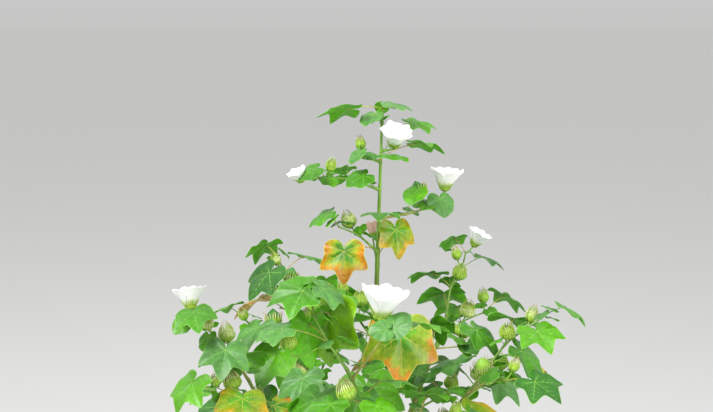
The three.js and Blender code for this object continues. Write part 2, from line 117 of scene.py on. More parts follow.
# Shoots that complete the crown, by limb: share, bearing, rise, reach, fruit at each node
SHOOTS_ROUND = {
    "main_stem": [
        ("stem_a", 0.59, 118, 22, 165, "bs-"),
        ("stem_b", 0.535, 352, 18, 170, "bb"),
        ("stem_c", 0.48, 227, 16, 175, "--b"),
        ("stem_d", 0.425, 84, 14, 190, "-b-"),
        ("stem_e", 0.375, 318, 12, 180, "bb"),
        ("stem_f", 0.285, 244, 10, 150, "b-"),
        ("stem_g", 0.212, 84, 6, 150, "--"),
        ("stem_h", 0.25, 6, 8, 150, "b-"),
    ],
    "bough_front": [
        ("front_a", 0.4, 205, 14, 130, "b-"),
        ("front_b", 0.62, 338, 20, 150, "bs"),
        ("front_c", 0.73, 198, 18, 120, "--"),
    ],
    "bough_left": [
        ("left_a", 0.5, 245, 14, 140, "bb"),
        ("left_b", 0.68, 140, 24, 135, "b-"),
        ("left_c", 0.84, 222, 28, 125, "bs"),
        ("left_tip", 1, 176, 48, 150, "bsf"),
    ],
    "bough_back_left": [
        ("back_left_a", 0.48, 188, 16, 140, "b-"),
        ("back_left_b", 0.66, 78, 22, 140, "bb"),
        ("back_left_c", 0.83, 170, 30, 130, "bs"),
        ("back_left_tip", 1, 112, 52, 145, "bs-"),
    ],
    "bough_back_right": [
        ("back_right_a", 0.5, 10, 16, 140, "bb"),
        ("back_right_b", 0.67, 104, 20, 130, "b-"),
        ("back_right_c", 0.84, 22, 30, 130, "bs"),
        ("back_right_tip", 1, 62, 50, 150, "bsf"),
    ],
    "bough_right": [
        ("right_a", 0.5, 292, 14, 140, "b-"),
        ("right_b", 0.67, 30, 22, 130, "bb"),
        ("right_c", 0.84, 300, 26, 125, "bs"),
        ("right_tip", 1, 350, 46, 150, "bs-"),
    ],
}

# Leaves that the photograph shows: shoot, node, foot, bearing, pitch, roll, length and tint
# A bluish tint is bluish green that stands for painted sheen from the sky on a leaf's top
LEAVES_SEEN = [
    ("crown_tip", 0, (-32, -24, 1034), 187, -4, 22, 60, "fresh"),
    ("crown_tip", 0, (42, 4, 1043), 5, -8, 6, 46, "painted_sheen"),
    ("crown_tip", 0, (12, -18, 1024), 235, -25, 0, 32, "painted_sheen"),
    ("top_flower", -1, (40, -44, 953), 335, -4, 0, 40, "mid"),
    ("top_flower", -1, (88, 44, 1004), 12, -6, 14, 50, "fresh"),
    ("upper_pair", -1, (94, -2, 970), 355, -8, -17, 54, "fresh"),
    ("upper_pair", 0, (-14, -40, 958), 215, -42, 0, 27, "painted_sheen"),
    ("upper_left", -1, (-4, -40, 915), 204, -20, -22, 38, "mid"),
    ("upper_left", 1, (-92, -66, 930), 190, -24, -20, 36, "mid"),
    ("upper_left", 0, (-40, 22, 922), 150, -20, 10, 42, "fresh"),
    ("right_flower", -1, (25, -40, 846), 270, 6, 0, 52, "mid"),
    ("right_flower", 1, (138, 4, 866), 292, -48, 0, 38, "painted_sheen"),
    ("right_flower", 0, (92, -14, 884), 240, -34, 0, 34, "fresh"),
    ("left_bolls", 1, (-70, -40, 846), 184, -28, -10, 42, "mid"),
    ("left_bolls", -1, (-40, -62, 779), 270, -72, 0, 60, "autumn"),
    ("pink_back", -1, (56, 14, 806), 300, -66, 0, 56, "yellow"),
    ("front_mid", 0, (60, -150, 648), 275, -70, 0, 92, "turning"),
    ("front_left", 2, (-104, -288, 757), 186, -12, -26, 66, "mid"),
    ("front_left", 2, (-72, -286, 760), 8, -30, 16, 52, "painted_sheen"),
    ("front_left", 1, (-63, -232, 706), 226, -78, 0, 94, "lit"),
    ("front_left", 0, (-96, -250, 692), 128, -82, 0, 76, "lit"),
    ("front_left", 0, (-138, -304, 697), 192, -14, -8, 50, "painted_sheen"),
    ("front_right", 0, (30, -328, 703), 186, -4, -42, 29, "painted_sheen"),
    ("front_right", 0, (43, -322, 704), 12, 42, 38, 34, "painted_sheen"),
    ("front_right", 0, (80, -266, 697), 8, -9, -12, 64, "fresh"),
    ("front_right", -1, (10, -204, 692), 60, -24, 0, 58, "fresh"),
    ("front_low", -1, (26, -243, 592), 352, 0, -16, 62, "painted_sheen"),
    ("front_low", 0, (-60, -300, 570), 236, -22, 0, 50, "mid"),
    ("front_low", 0, (16, -300, 566), 300, -30, 0, 46, "fresh"),
]

# Fruit that the photograph shows: shoot, node, kind, base, bearing and rise of its axis, size
FRUIT_SEEN = [
    ("top_flower", 0, "f", (50, -21, 964), 285, 60, 58),
    ("upper_left", 2, "f", (-117, -51, 904), 212, 64, 36),
    ("right_flower", 2, "f", (147, 30, 877), 340, 82, 61),
    ("pink_back", 0, "p", (16, 50, 786), 120, 62, 34),
    ("front_left", 0, "b", (-128, -274, 653), 150, 82, 38),
    ("front_left", 1, "s", (-94, -276, 712), 200, 60, 18),
    ("front_right", 0, "f", (21, -292, 708), 325, 80, 77),
    ("front_low", 0, "b", (-30, -276, 568), 200, 72, 44),
]

# Half of a leaf's outline in the solids: angle from the middle lobe, and its reach as a share
# of its length in a large lobed leaf and in a small rounded one
HALF_OUTLINE = [
    (28, 0.66, 0.86),
    (42, 0.75, 0.82),
    (55, 0.89, 0.79),
    (70, 0.71, 0.74),
    (112, 0.63, 0.64),
    (145, 0.46, 0.47),
]
ROUNDED_BELOW = 56
ROUNDED_SPAN = 16
LEAF_FOLD = 0.09
BASE_NOTCH = 0.07
LOBE_ANGLE = 55

# The same outline with the curves of a real leaf
FINE_OUTLINE = [
    (0, 1.0), (3, 0.965), (6, 0.92), (10, 0.855), (14, 0.795), (18, 0.745), (22, 0.7),
    (26, 0.668), (30, 0.664), (35, 0.69), (40, 0.73), (45, 0.785), (50, 0.85), (55, 0.89),
    (59, 0.85), (64, 0.785), (69, 0.72), (74, 0.67), (80, 0.628), (87, 0.61), (94, 0.61),
    (101, 0.622), (108, 0.634), (115, 0.632), (123, 0.605), (131, 0.56), (139, 0.505),
    (147, 0.445), (155, 0.375), (164, 0.28), (172, 0.17), (180, 0.07),
]


def dice(seed):
    """Numbers between 0 and 1 that repeat for a given seed."""
    state = seed

    def roll():
        nonlocal state
        state = (state * 1664525 + 1013904223) & 0xFFFFFFFF
        return state / 4294967296

    return roll


def vector(p):
    return np.array(p, float)


def mix(a, b, t):
    return a + (b - a) * t


def unit(v):
    return v / np.linalg.norm(v)


def heading(bearing, rise):
    """Unit vector with a bearing from +X and a rise from level, in degrees."""
    level = math.cos(rise * RAD)
    turn = bearing * RAD
    return vector((math.cos(turn) * level, math.sin(turn) * level, math.sin(rise * RAD)))


def bent(a, m, b, t):
    """Point of the quadratic curve from a by way of m to b."""
    return a * (1 - t) * (1 - t) + m * 2 * t * (1 - t) + b * t * t


def samples(points):
    """Points at a spacing of about SAMPLE_STEP on a polyline."""
    found = []
    for a, b in zip(points[:-1], points[1:]):
        count = max(1, math.ceil(np.linalg.norm(b - a) / SAMPLE_STEP))
        found += [a + (b - a) * (k / count) for k in range(count)]
    found.append(points[-1])
    return np.array(found)


def stem_point(z):
    return vector((STEM_LEAN * z, STEM_BOW * math.sin(math.pi * z / STEM_HEIGHT), z))


def stem_radius(z):
    taper = mix(STEM_RADIUS, STEM_TIP_RADIUS, max(0, z / STEM_HEIGHT) ** STEM_TAPER)
    return taper + FLARE_RADIUS * math.exp(-z / (FLARE_HEIGHT * 0.45))


def make_limbs():
    """Each limb's centre line and radius as functions of the share of its length."""
    limbs = {
        "main_stem": SimpleNamespace(
            centre=lambda t: stem_point(t * STEM_HEIGHT),
            radius=lambda t: stem_radius(t * STEM_HEIGHT),
            share=lambda i: (i / 20) ** STEM_SPACING if i else -CUT_DEPTH / STEM_HEIGHT,
            steps=20,
        )
    }
    for name, (height, bend, tip) in BOUGHS.items():
        limbs[name] = SimpleNamespace(
            centre=lambda t, a=stem_point(height), m=vector(bend), b=vector(tip): bent(a, m, b, t),
            radius=lambda t: mix(BOUGH_RADIUS, BOUGH_TIP_RADIUS, t),
            share=lambda i: i / 10,
            steps=10,
        )
    return limbs


def leaf_frame(at, bearing, pitch, roll, length):
    """Where a leaf's stalk ends, its middle lobe's direction u, left side w and face n."""
    u = heading(bearing, pitch)
    level = heading(bearing + 90, 0)
    face = np.cross(u, level)
    w = level * math.cos(roll * RAD) + face * math.sin(roll * RAD)
    return SimpleNamespace(at=at, u=u, w=w, n=np.cross(u, w), length=length)


def leaf_point(leaf, angle, reach, bend):
    """Point of a leaf's curved face at an angle from its middle lobe and a share of its length."""
    fold = math.sin(math.pi * angle / LOBE_ANGLE) ** 2
    rise = LEAF_FOLD * reach * fold - bend * reach * reach
    flat = leaf.u * reach * math.cos(angle * RAD) + leaf.w * reach * math.sin(angle * RAD)
    return leaf.at + (flat + leaf.n * rise) * leaf.length


def smallness(length):
    """0 for a leaf with full lobes, up to 1 for a small rounded one."""
    return min(1, max(0, (ROUNDED_BELOW - length) / ROUNDED_SPAN))


def leaf_outline(length):
    """Rim of a leaf as angles and reaches; the smaller the leaf, the shallower its lobes."""
    small = smallness(length)
    left = [(angle, mix(lobed, rounded, small)) for angle, lobed, rounded in HALF_OUTLINE]
    right = [(-angle, reach) for angle, reach in reversed(left)]
    return [(0, 1), *left, (180, BASE_NOTCH), *right]


def leaf_samples(leaf, bend):
    """Points spread over a leaf, used to keep it apart from its neighbours."""
    found = [leaf.at]
    for angle, reach in leaf_outline(leaf.length):
        count = math.ceil(leaf.length * reach / SAMPLE_STEP)
        found += [leaf_point(leaf, angle, reach * k / count, bend) for k in range(1, count + 1)]
    return np.array(found)


def stalk_line(start, end, steps):
    """Stalk from a node to the foot of a blade: it leaves upwards and arches over."""
    span = np.linalg.norm(end - start)
    middle = start + (end - start) * 0.5 + UP * 0.14 * span
    return np.array([bent(start, middle, end, i / steps) for i in range(steps + 1)])


def fruit_ball(fruit):
    """Centre and radius of the ball that a fruit keeps to."""
    share = 0.42 if fruit.kind == "f" else 0.5
    radius = fruit.size * (0.5 if fruit.kind == "f" else 0.42)
    return fruit.base + fruit.axis * fruit.size * share, radius


placed = []


def record(mass, kind, points, radius):
    points = np.array(points)
    low = points.min(0)
    high = points.max(0)
    placed.append(
        SimpleNamespace(mass=mass, kind=kind, points=points, radius=radius, low=low, high=high)
    )


def twig_of(shoot):
    """A test for a shoot's own twig and stalks, which its leaves and fruit may touch."""
    return lambda other: other.mass == shoot.name and other.kind == "twig"


def is_clear(points, radius, skip=None, clearance=CLEARANCE):
    """True if no placed thing, but those to skip, lies within the clearance of these points."""
    low = points.min(0)
    high = points.max(0)
    for other in placed:
        gap = clearance + other.radius + radius
        if (other.low > high + gap).any() or (other.high < low - gap).any():
            continue
        if skip and skip(other):
            continue
        apart = other.points[:, None, :] - points[None, :, :]
        if ((apart * apart).sum(2) < gap * gap).any():
            return False
    return True


def shoot_line(start, tip, arch, count):
    """Nodes of an arched, zigzag twig."""
    chord = tip - start
    run = unit(chord)
    lift = unit(UP - run * run[2])
    side = np.cross(run, lift)
    nodes = []
    for k in range(count):
        share = ((k + 1) / count) ** 0.8
        swing = 0 if k == count - 1 else ZIGZAG * (1 if k % 2 else -1)
        nodes.append(start + chord * share + lift * 4 * arch * share * (1 - share) + side * swing)
    return nodes


def make_shoots(limbs):
    shoots = []

    def add(name, limb, share, tip, arch, fruit, seen):
        start = limbs[limb].centre(share)
        bearing = math.atan2(tip[1] - start[1], tip[0] - start[0]) / RAD
        nodes = shoot_line(start, tip, arch, len(fruit))
        roll = dice(4000 + 77 * len(shoots))
        shoots.append(
            SimpleNamespace(
                name=name, limb=limb, share=share, start=start, nodes=nodes, fruit=fruit,
                bearing=bearing, roll=roll, seen=seen, fruits=[], leaves=[],
            )
        )

    for limb, rows in SHOOTS_SEEN.items():
        for name, share, tip, arch, fruit in rows:
            add(name, limb, share, vector(tip), arch, fruit, True)
    for limb, rows in SHOOTS_ROUND.items():
        for name, share, bearing, rise, reach, fruit in rows:
            tip = limbs[limb].centre(share) + heading(bearing, rise) * reach
            add(name, limb, share, tip, ROUND_ARCH, fruit, False)
    return shoots


def node_point(shoot, node):
    if node >= 0:
        return shoot.nodes[node]
    return shoot.start + (shoot.nodes[0] - shoot.start) * 0.2


def add_fruit(shoot, start, fruit):
    centre, radius = fruit_ball(fruit)
    record(shoot.name, "fruit", [centre], radius)
    shoot.fruits.append((start, fruit))


def add_leaf(shoot, start, leaf, bend, tint):
    stalk = stalk_line(start, leaf.at, STALK_STEPS)
    record(shoot.name, "blade", leaf_samples(leaf, bend), 0)
    record(shoot.name, "twig", samples(stalk), STALK_RADIUS)
    shoot.leaves.append(SimpleNamespace(start=start, leaf=leaf, bend=bend, tint=tint))


def place_seen(shoots):
    by_name = {shoot.name: shoot for shoot in shoots}
    for name, node, kind, base, bearing, rise, size in FRUIT_SEEN:
        shoot = by_name[name]
        axis = heading(bearing, rise)
        fruit = SimpleNamespace(kind=kind, base=vector(base), axis=axis, size=size, closed=True)
        add_fruit(shoot, node_point(shoot, node), fruit)
    for name, node, at, bearing, pitch, roll, length, tint in LEAVES_SEEN:
        shoot = by_name[name]
        leaf = leaf_frame(vector(at), bearing, pitch, roll, length)
        add_leaf(shoot, node_point(shoot, node), leaf, LEAF_BEND, tint)


def grow_fruit(shoot):
    """Fruit on a short stalk on the side of the node away from its leaf."""
    for node, kind in enumerate(shoot.fruit):
        draws = [shoot.roll() for _ in range(3)]
        if kind == "-":
            continue
        side = 1 if node % 2 else -1
        start = shoot.nodes[node]
        for attempt in range(FRUIT_TRIES):
            turn = side * (48 + 30 * draws[0]) + 45 * attempt
            base = start + heading(shoot.bearing + turn, 38 + 24 * draws[1]) * PEDUNCLE
            axis = heading(shoot.bearing + turn, 58 + 20 * draws[1])
            full = {"b": BRACT_LENGTH, "s": BUD_SIZE, "f": FLOWER_SIZE}[kind]
            size = full * mix(0.85, 1.08, draws[2])
            fruit = SimpleNamespace(kind=kind, base=base, axis=axis, size=size, closed=False)
            centre, radius = fruit_ball(fruit)
            if not is_clear(np.array([centre]), radius - 3, twig_of(shoot)):
                continue
            if not is_clear(samples([start, base])[1:], STALK_RADIUS, twig_of(shoot)):
                continue
            add_fruit(shoot, start, fruit)
            break


def leaf_tint(draws, age):
    """A leaf's tint by chance: low leaves turn yellow or orange more often, high ones are fresh."""
    pick = (draws[0] * 7.31 + draws[3] * 3.17 + draws[5] * 5.71) % 1
    if age < 0.62 and pick < 0.05:
        return "autumn"
    if age < 0.7 and pick < 0.13:
        return "yellow"
    if pick < 0.3:
        return "fresh"
    if pick < 0.62:
        return "mid"
    # Some leaves get bluish green, which is painted sheen
    return "painted_sheen" if pick < 0.86 else "deep"


def grow_leaves(shoot):
    """A large leaf beside the limb and one at each node, each turned about its node until clear."""
    last = len(shoot.nodes) - 1
    for node in range(-1, last + 1):
        draws = [shoot.roll() for _ in range(6)]
        start = node_point(shoot, node)
        age = min(1, start[2] / STEM_HEIGHT)
        outer = 1.12 if node < 0 else 1 - 0.1 * node
        length = mix(*LEAF_LENGTH, age) * outer * mix(0.82, 1.1, draws[0])
        reach = mix(*STALK_LENGTH, age) * outer * mix(0.8, 1.15, draws[1])
        side = -1 if node % 2 else 1
        spread = -40 * side if node < 0 else 12 if node == last else 62 * side
        for attempt in range(LEAF_TRIES):
            swing = ((attempt + 1) >> 1) * (17 if attempt % 2 else -17)
            bearing = shoot.bearing + spread + swing + 24 * (draws[2] - 0.5)
            rise = 26 + 22 * draws[3] + 16 * ((attempt % 3) - 1)
            at = start + heading(bearing, rise) * reach
            lean = draws[5] - 0.5
            leaf = leaf_frame(at, bearing + 16 * lean, -14 - 30 * draws[4], 26 * lean, length)
            bend = 0.12 + 0.14 * draws[3]
            stalk = samples(stalk_line(start, at, STALK_STEPS))[2:]
            if not is_clear(leaf_samples(leaf, bend), 0):
                continue
            if not is_clear(stalk, STALK_RADIUS, twig_of(shoot)):
                continue
            add_leaf(shoot, start, leaf, bend, leaf_tint(draws, age))
            break


def grow_plant():
    limbs = make_limbs()
    for name, limb in limbs.items():
        points = [limb.centre(limb.share(i)) for i in range(limb.steps + 1)]
        record(name, "limb", samples(points), limb.radius(limb.share(limb.steps // 2)))
    shoots = make_shoots(limbs)
    for shoot in shoots:
        record(shoot.name, "twig", samples([shoot.start, *shoot.nodes])[2:], TWIG_RADIUS)
    place_seen(shoots)
    for shoot in shoots:
        grow_fruit(shoot)
    for shoot in shoots:
        if not shoot.seen:
            grow_leaves(shoot)
    return limbs, shoots


limbs, shoots = grow_plant()
print("leaves", sum(len(s.leaves) for s in shoots), "fruit", sum(len(s.fruits) for s in shoots))


# A look with this added stands for a face that is shaded flat
FLAT = 100


class Piece:
    """Collects the vertices and faces of many small things into one mesh, in millimetres."""

    def __init__(self, name):
        self.name = name
        self.points = []
        self.faces = {3: [np.zeros((0, 3), int)], 4: [np.zeros((0, 4), int)]}
        self.looks = {3: [], 4: []}
        self.count = 0
        self.triangles = 0

    def add(self, points, faces, look):
        """Adds points and a list of face arrays, with one look for all or one array for each."""
        for index, group in enumerate(faces):
            sides = group.shape[1]
            choice = look[index] if isinstance(look, list) else look
            self.faces[sides].append(group + self.count)
            self.looks[sides].append(np.broadcast_to(choice, len(group)))
            self.triangles += len(group) * (sides - 2)
        self.points.append(points)
        self.count += len(points)


class Kind:
    """Pieces of one kind of thing, each kept under a number of triangles."""

    LIMIT = 170000

    def __init__(self, name, looks):
        self.name = name
        self.looks = looks
        self.pieces = []

    def piece(self):
        if not self.pieces or self.pieces[-1].triangles > self.LIMIT:
            self.pieces.append(Piece(f"{self.name}_{len(self.pieces) + 1}"))
        return self.pieces[-1]

    def look(self, name):
        return list(self.looks).index(name)


def grid(rows, columns, closed, first=0):
    """Quads between rows of points, one after another, facing along row step across column step."""
    across = columns if closed else columns - 1
    row, column = np.meshgrid(np.arange(rows - 1), np.arange(across), indexing="ij")
    here = first + row * columns + column
    beside = first + row * columns + (column + 1) % columns
    quads = np.stack([here, beside, beside + columns, here + columns], -1)
    return quads.reshape(-1, 4)


def fan(centre, ring):
    """Triangles from a centre to a closed ring of points."""
    return np.stack([np.full(len(ring), centre), ring, np.roll(ring, -1)], -1)


def sides_along(points):
    """Two directions square to a path at each of its points, which turn as little as possible."""
    runs = np.gradient(points, axis=0)
    runs /= np.linalg.norm(runs, axis=1)[:, None]
    start = vector((1, 0, 0)) if abs(runs[0][2]) > 0.7 else UP
    side = unit(np.cross(start, runs[0]))
    found = []
    for run in runs:
        side = unit(side - run * (side @ run))
        found.append(side)
    found = np.array(found)
    return found, np.cross(runs, found)


def circle(count):
    """Angles in radians at equal steps round a circle."""
    return np.linspace(0, 2 * math.pi, count, endpoint=False)


def closed_body(kind, skin, foot, tip, look):
    """A body over rings of points, closed by a fan to its foot and one to its tip."""
    rows, sides = skin.shape[:2]
    cloud = np.concatenate([skin.reshape(-1, 3), [foot], [tip]])
    last = (rows - 1) * sides
    low = fan(rows * sides, np.arange(sides)[::-1])
    high = fan(rows * sides + 1, np.arange(last, last + sides))
    kind.piece().add(cloud, [grid(rows, sides, True), low, high], look)


def tube(kind, points, radii, sides, look):
    """A round body along a path, closed at both ends. radii is one per point, or one per vertex."""
    side, other = sides_along(points)
    turn = circle(sides)
    ring = (
        np.cos(turn)[None, :, None] * side[:, None, :]
        + np.sin(turn)[None, :, None] * other[:, None, :]
    )
    radii = radii[:, None] if radii.ndim == 1 else radii
    skin = points[:, None, :] + ring * radii[:, :, None]
    closed_body(kind, skin, points[0], points[-1], look)


def smooth_path(points, per_span):
    """A rounded path through points, with some steps to each span."""
    points = np.array(points)
    ends = np.concatenate([[2 * points[0] - points[1]], points, [2 * points[-1] - points[-2]]])
    path = []
    for i in range(1, len(ends) - 2):
        p0, p1, p2, p3 = ends[i - 1 : i + 3]
        for t in np.linspace(0, 1, per_span, endpoint=False):
            bow = (p3 - p0 + 3 * (p1 - p2)) * t**3 + (2 * p0 - 5 * p1 + 4 * p2 - p3) * t * t
            path.append(p1 + 0.35 * (bow + (p2 - p0) * t) + 0.3 * (p2 - p1) * (3 - 2 * t) * t * t)
    path.append(points[-1])
    return np.array(path)


def ripple(turn, length, scale, seed):
    """Smooth unevenness over a round surface, about -1 to 1, from a sum of waves."""
    roll = dice(seed)
    total = 0
    for wave in range(1, 6):
        lean = (roll() - 0.5) * 6 / scale
        total = total + np.sin(wave * turn + lean * length + roll() * ANY_PHASE) / math.sqrt(wave)
        total = total + np.sin(length * (0.6 + wave * roll()) / scale + roll() * ANY_PHASE) / wave
    return total / 4


# Leaves

RIM = [(-angle, reach) for angle, reach in reversed(FINE_OUTLINE[1:-1])] + FINE_OUTLINE
ANGLES, REACHES = np.array(RIM, float).T
ROUND_ANGLES = np.array([0, 14, 28, 42, 55, 70, 90, 112, 128, 145, 164, 180])
ROUND_REACHES = np.array([1, 0.93, 0.87, 0.83, 0.795, 0.745, 0.69, 0.645, 0.58, 0.47, 0.28, 0.07])
RINGS = np.array([0.1, 0.24, 0.4, 0.56, 0.72, 0.87, 0.978, 1.0])
FEW_RINGS = np.array([0.1, 0.4, 0.72, 0.965, 1.0])
MANY_RINGS = np.append(np.linspace(0.06, 0.97, 15), 1.0)
MAIN_VEINS = ((0, 0.97), (55, 0.82), (-55, 0.82), (112, 0.5), (-112, 0.5))
SIDE_VEINS = (0.24, 0.42, 0.6, 0.76)
SIDE_VEIN_TURN = 43
WIDE_VEIN = 0.013
FINE_VEIN = 0.0055
BLADE_HALF = 0.17
BLADE_WAVE = (0.03, 0.062)
SMALL_WAVE_LOSS = 0.4
DEEPER_FOLD = 0.9


def outline_reach(angle):
    """How far the blade reaches at an angle, as a share of the leaf's length."""
    return np.interp(angle, ANGLES, REACHES, period=360)


def vein_lines():
    """Centre lines of a leaf's veins in its plane: start, direction, length and width."""
    lines = []
    for angle, reach in MAIN_VEINS:
        run = np.array([math.cos(angle * RAD), math.sin(angle * RAD)])
        lines.append((np.zeros(2), run, reach, WIDE_VEIN))
        for share in SIDE_VEINS:
            for turn in (SIDE_VEIN_TURN, -SIDE_VEIN_TURN):
                toward = (angle + turn) * RAD
                side = np.array([math.cos(toward), math.sin(toward)])
                start = run * reach * (share + 0.02 * (turn > 0))
                length = 0.3 * reach * (1 - 0.45 * share)
                for _ in range(12):
                    tip = start + side * length
                    edge = outline_reach(math.atan2(tip[1], tip[0]) / RAD)
                    if np.hypot(*tip) < 0.93 * edge:
                        break
                    length *= 0.86
                lines.append((start, side, length, FINE_VEIN))
    return lines


def vein_template(lines, steps):
    """Points in the leaf's plane, their lift off the face, and the faces of the veins' ridges."""
    spots = []
    lifts = []
    faces = []
    first = 0
    for start, run, length, width in lines:
        across = np.array([-run[1], run[0]])
        count = steps if width == WIDE_VEIN else steps // 2
        for i in range(count + 1):
            share = i / count
            half = width * (1 - 0.82 * share)
            middle = start + run * length * share
            spots += [middle - across * half, middle, middle + across * half]
            lifts += [-0.1, 1 - 0.6 * share, -0.1]
        faces.append(grid(count + 1, 3, False, first))
        first += 3 * (count + 1)
    return np.array(spots), np.array(lifts), np.concatenate(faces)


VEINS = vein_template(vein_lines(), 6)
PLAIN_VEINS = vein_template([line for line in vein_lines() if line[3] == WIDE_VEIN], 5)


def leaf_surface(leaf, spots, bend, phase, wave):
    """Points of the curved face over spots in the leaf's plane, rounded out in a small leaf."""
    angle = np.arctan2(spots[:, 1], spots[:, 0]) / RAD
    rounding = np.interp(np.abs(angle), ROUND_ANGLES, ROUND_REACHES) / outline_reach(angle)
    spots = spots * mix(1, rounding, smallness(leaf.length))[:, None]
    reach = np.hypot(spots[:, 0], spots[:, 1])
    fold = np.sin(math.pi * angle / LOBE_ANGLE) ** 2
    deeper = 1 + DEEPER_FOLD * abs(math.sin(phase)) * (1 - smallness(leaf.length))
    rise = LEAF_FOLD * deeper * reach * fold - bend * reach**2
    rise = rise + wave * reach**2 * np.sin(5 * angle * RAD + phase)
    rise = rise + 0.4 * wave * reach**3 * np.sin(11 * angle * RAD + 2.3 * phase)
    flat = spots[:, :1] * leaf.u + spots[:, 1:2] * leaf.w
    return leaf.at + (flat + rise[:, None] * leaf.n) * leaf.length


def blade_spots(phase, angles, reaches, rings):
    """Spots over a blade: its foot, then rings of points out to its edge."""
    edge = reaches * (1 + 0.018 * np.sin(7 * angles * RAD + phase))
    radius = rings[:, None] * edge[None, :]
    x = radius * np.cos(angles * RAD)
    y = radius * np.sin(angles * RAD)
    ring = np.stack([x, y], -1).reshape(-1, 2)
    return np.concatenate([[[0.0, 0.0]], ring])


# Looks of a blade: its underside, then its upper face from the middle out to the lobes' tips
TINTS = {
    "fresh": ("under_lit", "leaf_fresh"),
    "mid": ("under_lit", "leaf_mid"),
    # Painted sheen: bluish green in place of the sky's gloss on a leaf's top
    "painted_sheen": ("under_lit", "leaf_painted_sheen"),
    "deep": ("under_pale", "leaf_deep"),
    "lit": ("under_lit", "leaf_lit"),
    "yellow": (
        "leaf_yellow", "leaf_fresh", "leaf_lime", "leaf_lime", "leaf_yellow", "leaf_gold",
    ),
    "turning": (
        "leaf_yellow", "leaf_fresh", "leaf_lime", "leaf_lime", "leaf_lime", "leaf_yellow",
        "leaf_orange",
    ),
    "autumn": (
        "leaf_gold", "leaf_mid", "leaf_lime", "leaf_yellow", "leaf_gold", "leaf_orange",
        "leaf_rust",
    ),
}
WARM_TINTS = ("yellow", "turning", "autumn")


def face_looks(kind, tint, angles, rings, phase):
    """A look for each face of a blade, ring by ring, from the tint's steps."""
    steps = [kind.look(name) for name in TINTS[tint][1:]]
    if len(steps) == 1:
        return np.full((len(rings), len(angles)), steps[0])
    edge = outline_reach(angles)
    out = rings[:, None] * (0.45 + 0.75 * edge[None, :])
    out = out + 0.13 * np.sin(4 * angles * RAD + phase)[None, :]
    out = out + 0.05 * np.sin(17 * angles * RAD + 9 * rings[:, None] + phase)
    out = out + 0.04 * np.sin(41 * angles * RAD + 31 * rings[:, None] + 3 * phase)
    speckle = np.sin(91.7 * angles[None, :] + 57.3 * rings[:, None] * len(rings) + phase)
    share = np.clip((out + 0.035 * speckle - 0.3) / 0.78, 0, 0.999)
    return np.array(steps)[(share * len(steps)).astype(int)]


def add_blade(kind, leaf, bend, tint, roll, fine=True):
    """A leaf's blade: upper face, underside, edge and raised veins."""
    phase = roll() * ANY_PHASE
    wave = mix(*BLADE_WAVE, roll()) * (1 - SMALL_WAVE_LOSS * smallness(leaf.length))
    step = 0.5 if tint in WARM_TINTS else 1 if fine else 2
    place = np.arange(0, len(ANGLES), step)
    angles = np.interp(place, range(len(ANGLES) + 1), [*ANGLES, ANGLES[0] + 360])
    reaches = np.interp(place, range(len(ANGLES) + 1), [*REACHES, REACHES[0]])
    rings = MANY_RINGS if step < 1 else RINGS if fine else FEW_RINGS
    spots = blade_spots(phase, angles, reaches, rings)
    face = leaf_surface(leaf, spots, bend, phase, wave)
    half = BLADE_HALF * leaf.n
    count = len(spots)
    across = len(angles)
    ring = np.arange(1, across + 1)
    looks = face_looks(kind, tint, angles, rings, phase)
    edge = kind.look("vein_gold" if tint in WARM_TINTS else "edge")
    looks[-1] = edge
    top = [fan(0, ring), grid(len(rings), across, True, 1)[:, ::-1]]
    under = [fan(0, ring)[:, ::-1] + count, grid(len(rings), across, True, 1) + count]
    last = 1 + (len(rings) - 1) * across + np.arange(across)
    beside = np.roll(last, -1)
    rim = np.stack([last, last + count, beside + count, beside], -1)
    below = kind.look(TINTS[tint][0])
    kind.piece().add(
        np.concatenate([face + half, face - half]),
        [*top, *under, rim],
        [looks[0], looks[1:].reshape(-1), below, below, edge + FLAT],
    )
    where, lift, ridges = VEINS if fine else PLAIN_VEINS
    line = leaf_surface(leaf, where, bend, phase, wave)
    size = leaf.length / 80
    veins = kind.look("vein_gold" if tint in WARM_TINTS else "vein")
    upper = line + leaf.n * (BLADE_HALF + 0.3 * size * lift)[:, None]
    lower = line - leaf.n * (BLADE_HALF + 0.75 * size * lift)[:, None]
    kind.piece().add(upper, [ridges[:, ::-1]], veins)
    kind.piece().add(lower, [ridges], veins)


# Flowers, bolls and buds

PETALS = 5
PETAL_THICKNESS = 0.35
PETAL_SPREAD = (14, 56)
CLAW_RADIUS = 3
ANTHERS = 70
ANTHER_TURN = 137.5
BRACTS = 3
BRACT_SPREAD = (24, 63)
BRACT_FOOT = 3
BRACT_THICKNESS = 0.3
TOOTH_THICKNESS = 0.28


def across(axis):
    """Two directions square to an axis."""
    start = vector((1, 0, 0)) if abs(axis[2]) > 0.9 else UP
    side = unit(np.cross(start, axis))
    return side, np.cross(axis, side)


def round_points(fruit, turn, radius, height):
    """Points round a fruit's axis, from arrays of turn in degrees, radius and height."""
    side, other = across(fruit.axis)
    return (
        fruit.base
        + height[..., None] * fruit.axis
        + (radius * np.cos(turn * RAD))[..., None] * side
        + (radius * np.sin(turn * RAD))[..., None] * other
    )


def sheet(kind, skin, thickness, looks):
    """A thin sheet over a grid of points, with both faces, its edges and a look for each quad."""
    rows, columns = skin.shape[:2]
    down = np.gradient(skin, axis=0)
    along = np.gradient(skin, axis=1)
    normal = np.cross(along, down)
    normal /= np.linalg.norm(normal, axis=2)[:, :, None] + 1e-9
    count = rows * columns
    lift = normal * thickness / 2
    cloud = np.concatenate([skin + lift, skin - lift]).reshape(-1, 3)
    faces = grid(rows, columns, False)
    index = np.arange(count).reshape(rows, columns)
    border = np.concatenate([index[0], index[1:, -1], index[-1, ::-1][1:], index[::-1, 0][1:-1]])
    after = np.roll(border, -1)
    rim = np.stack([border, border + count, after + count, after], -1)
    rim_look = looks[-1, columns // 2] + FLAT
    looks = looks.reshape(-1)
    kind.piece().add(cloud, [faces, faces[:, ::-1] + count, rim], [looks, looks, rim_look])


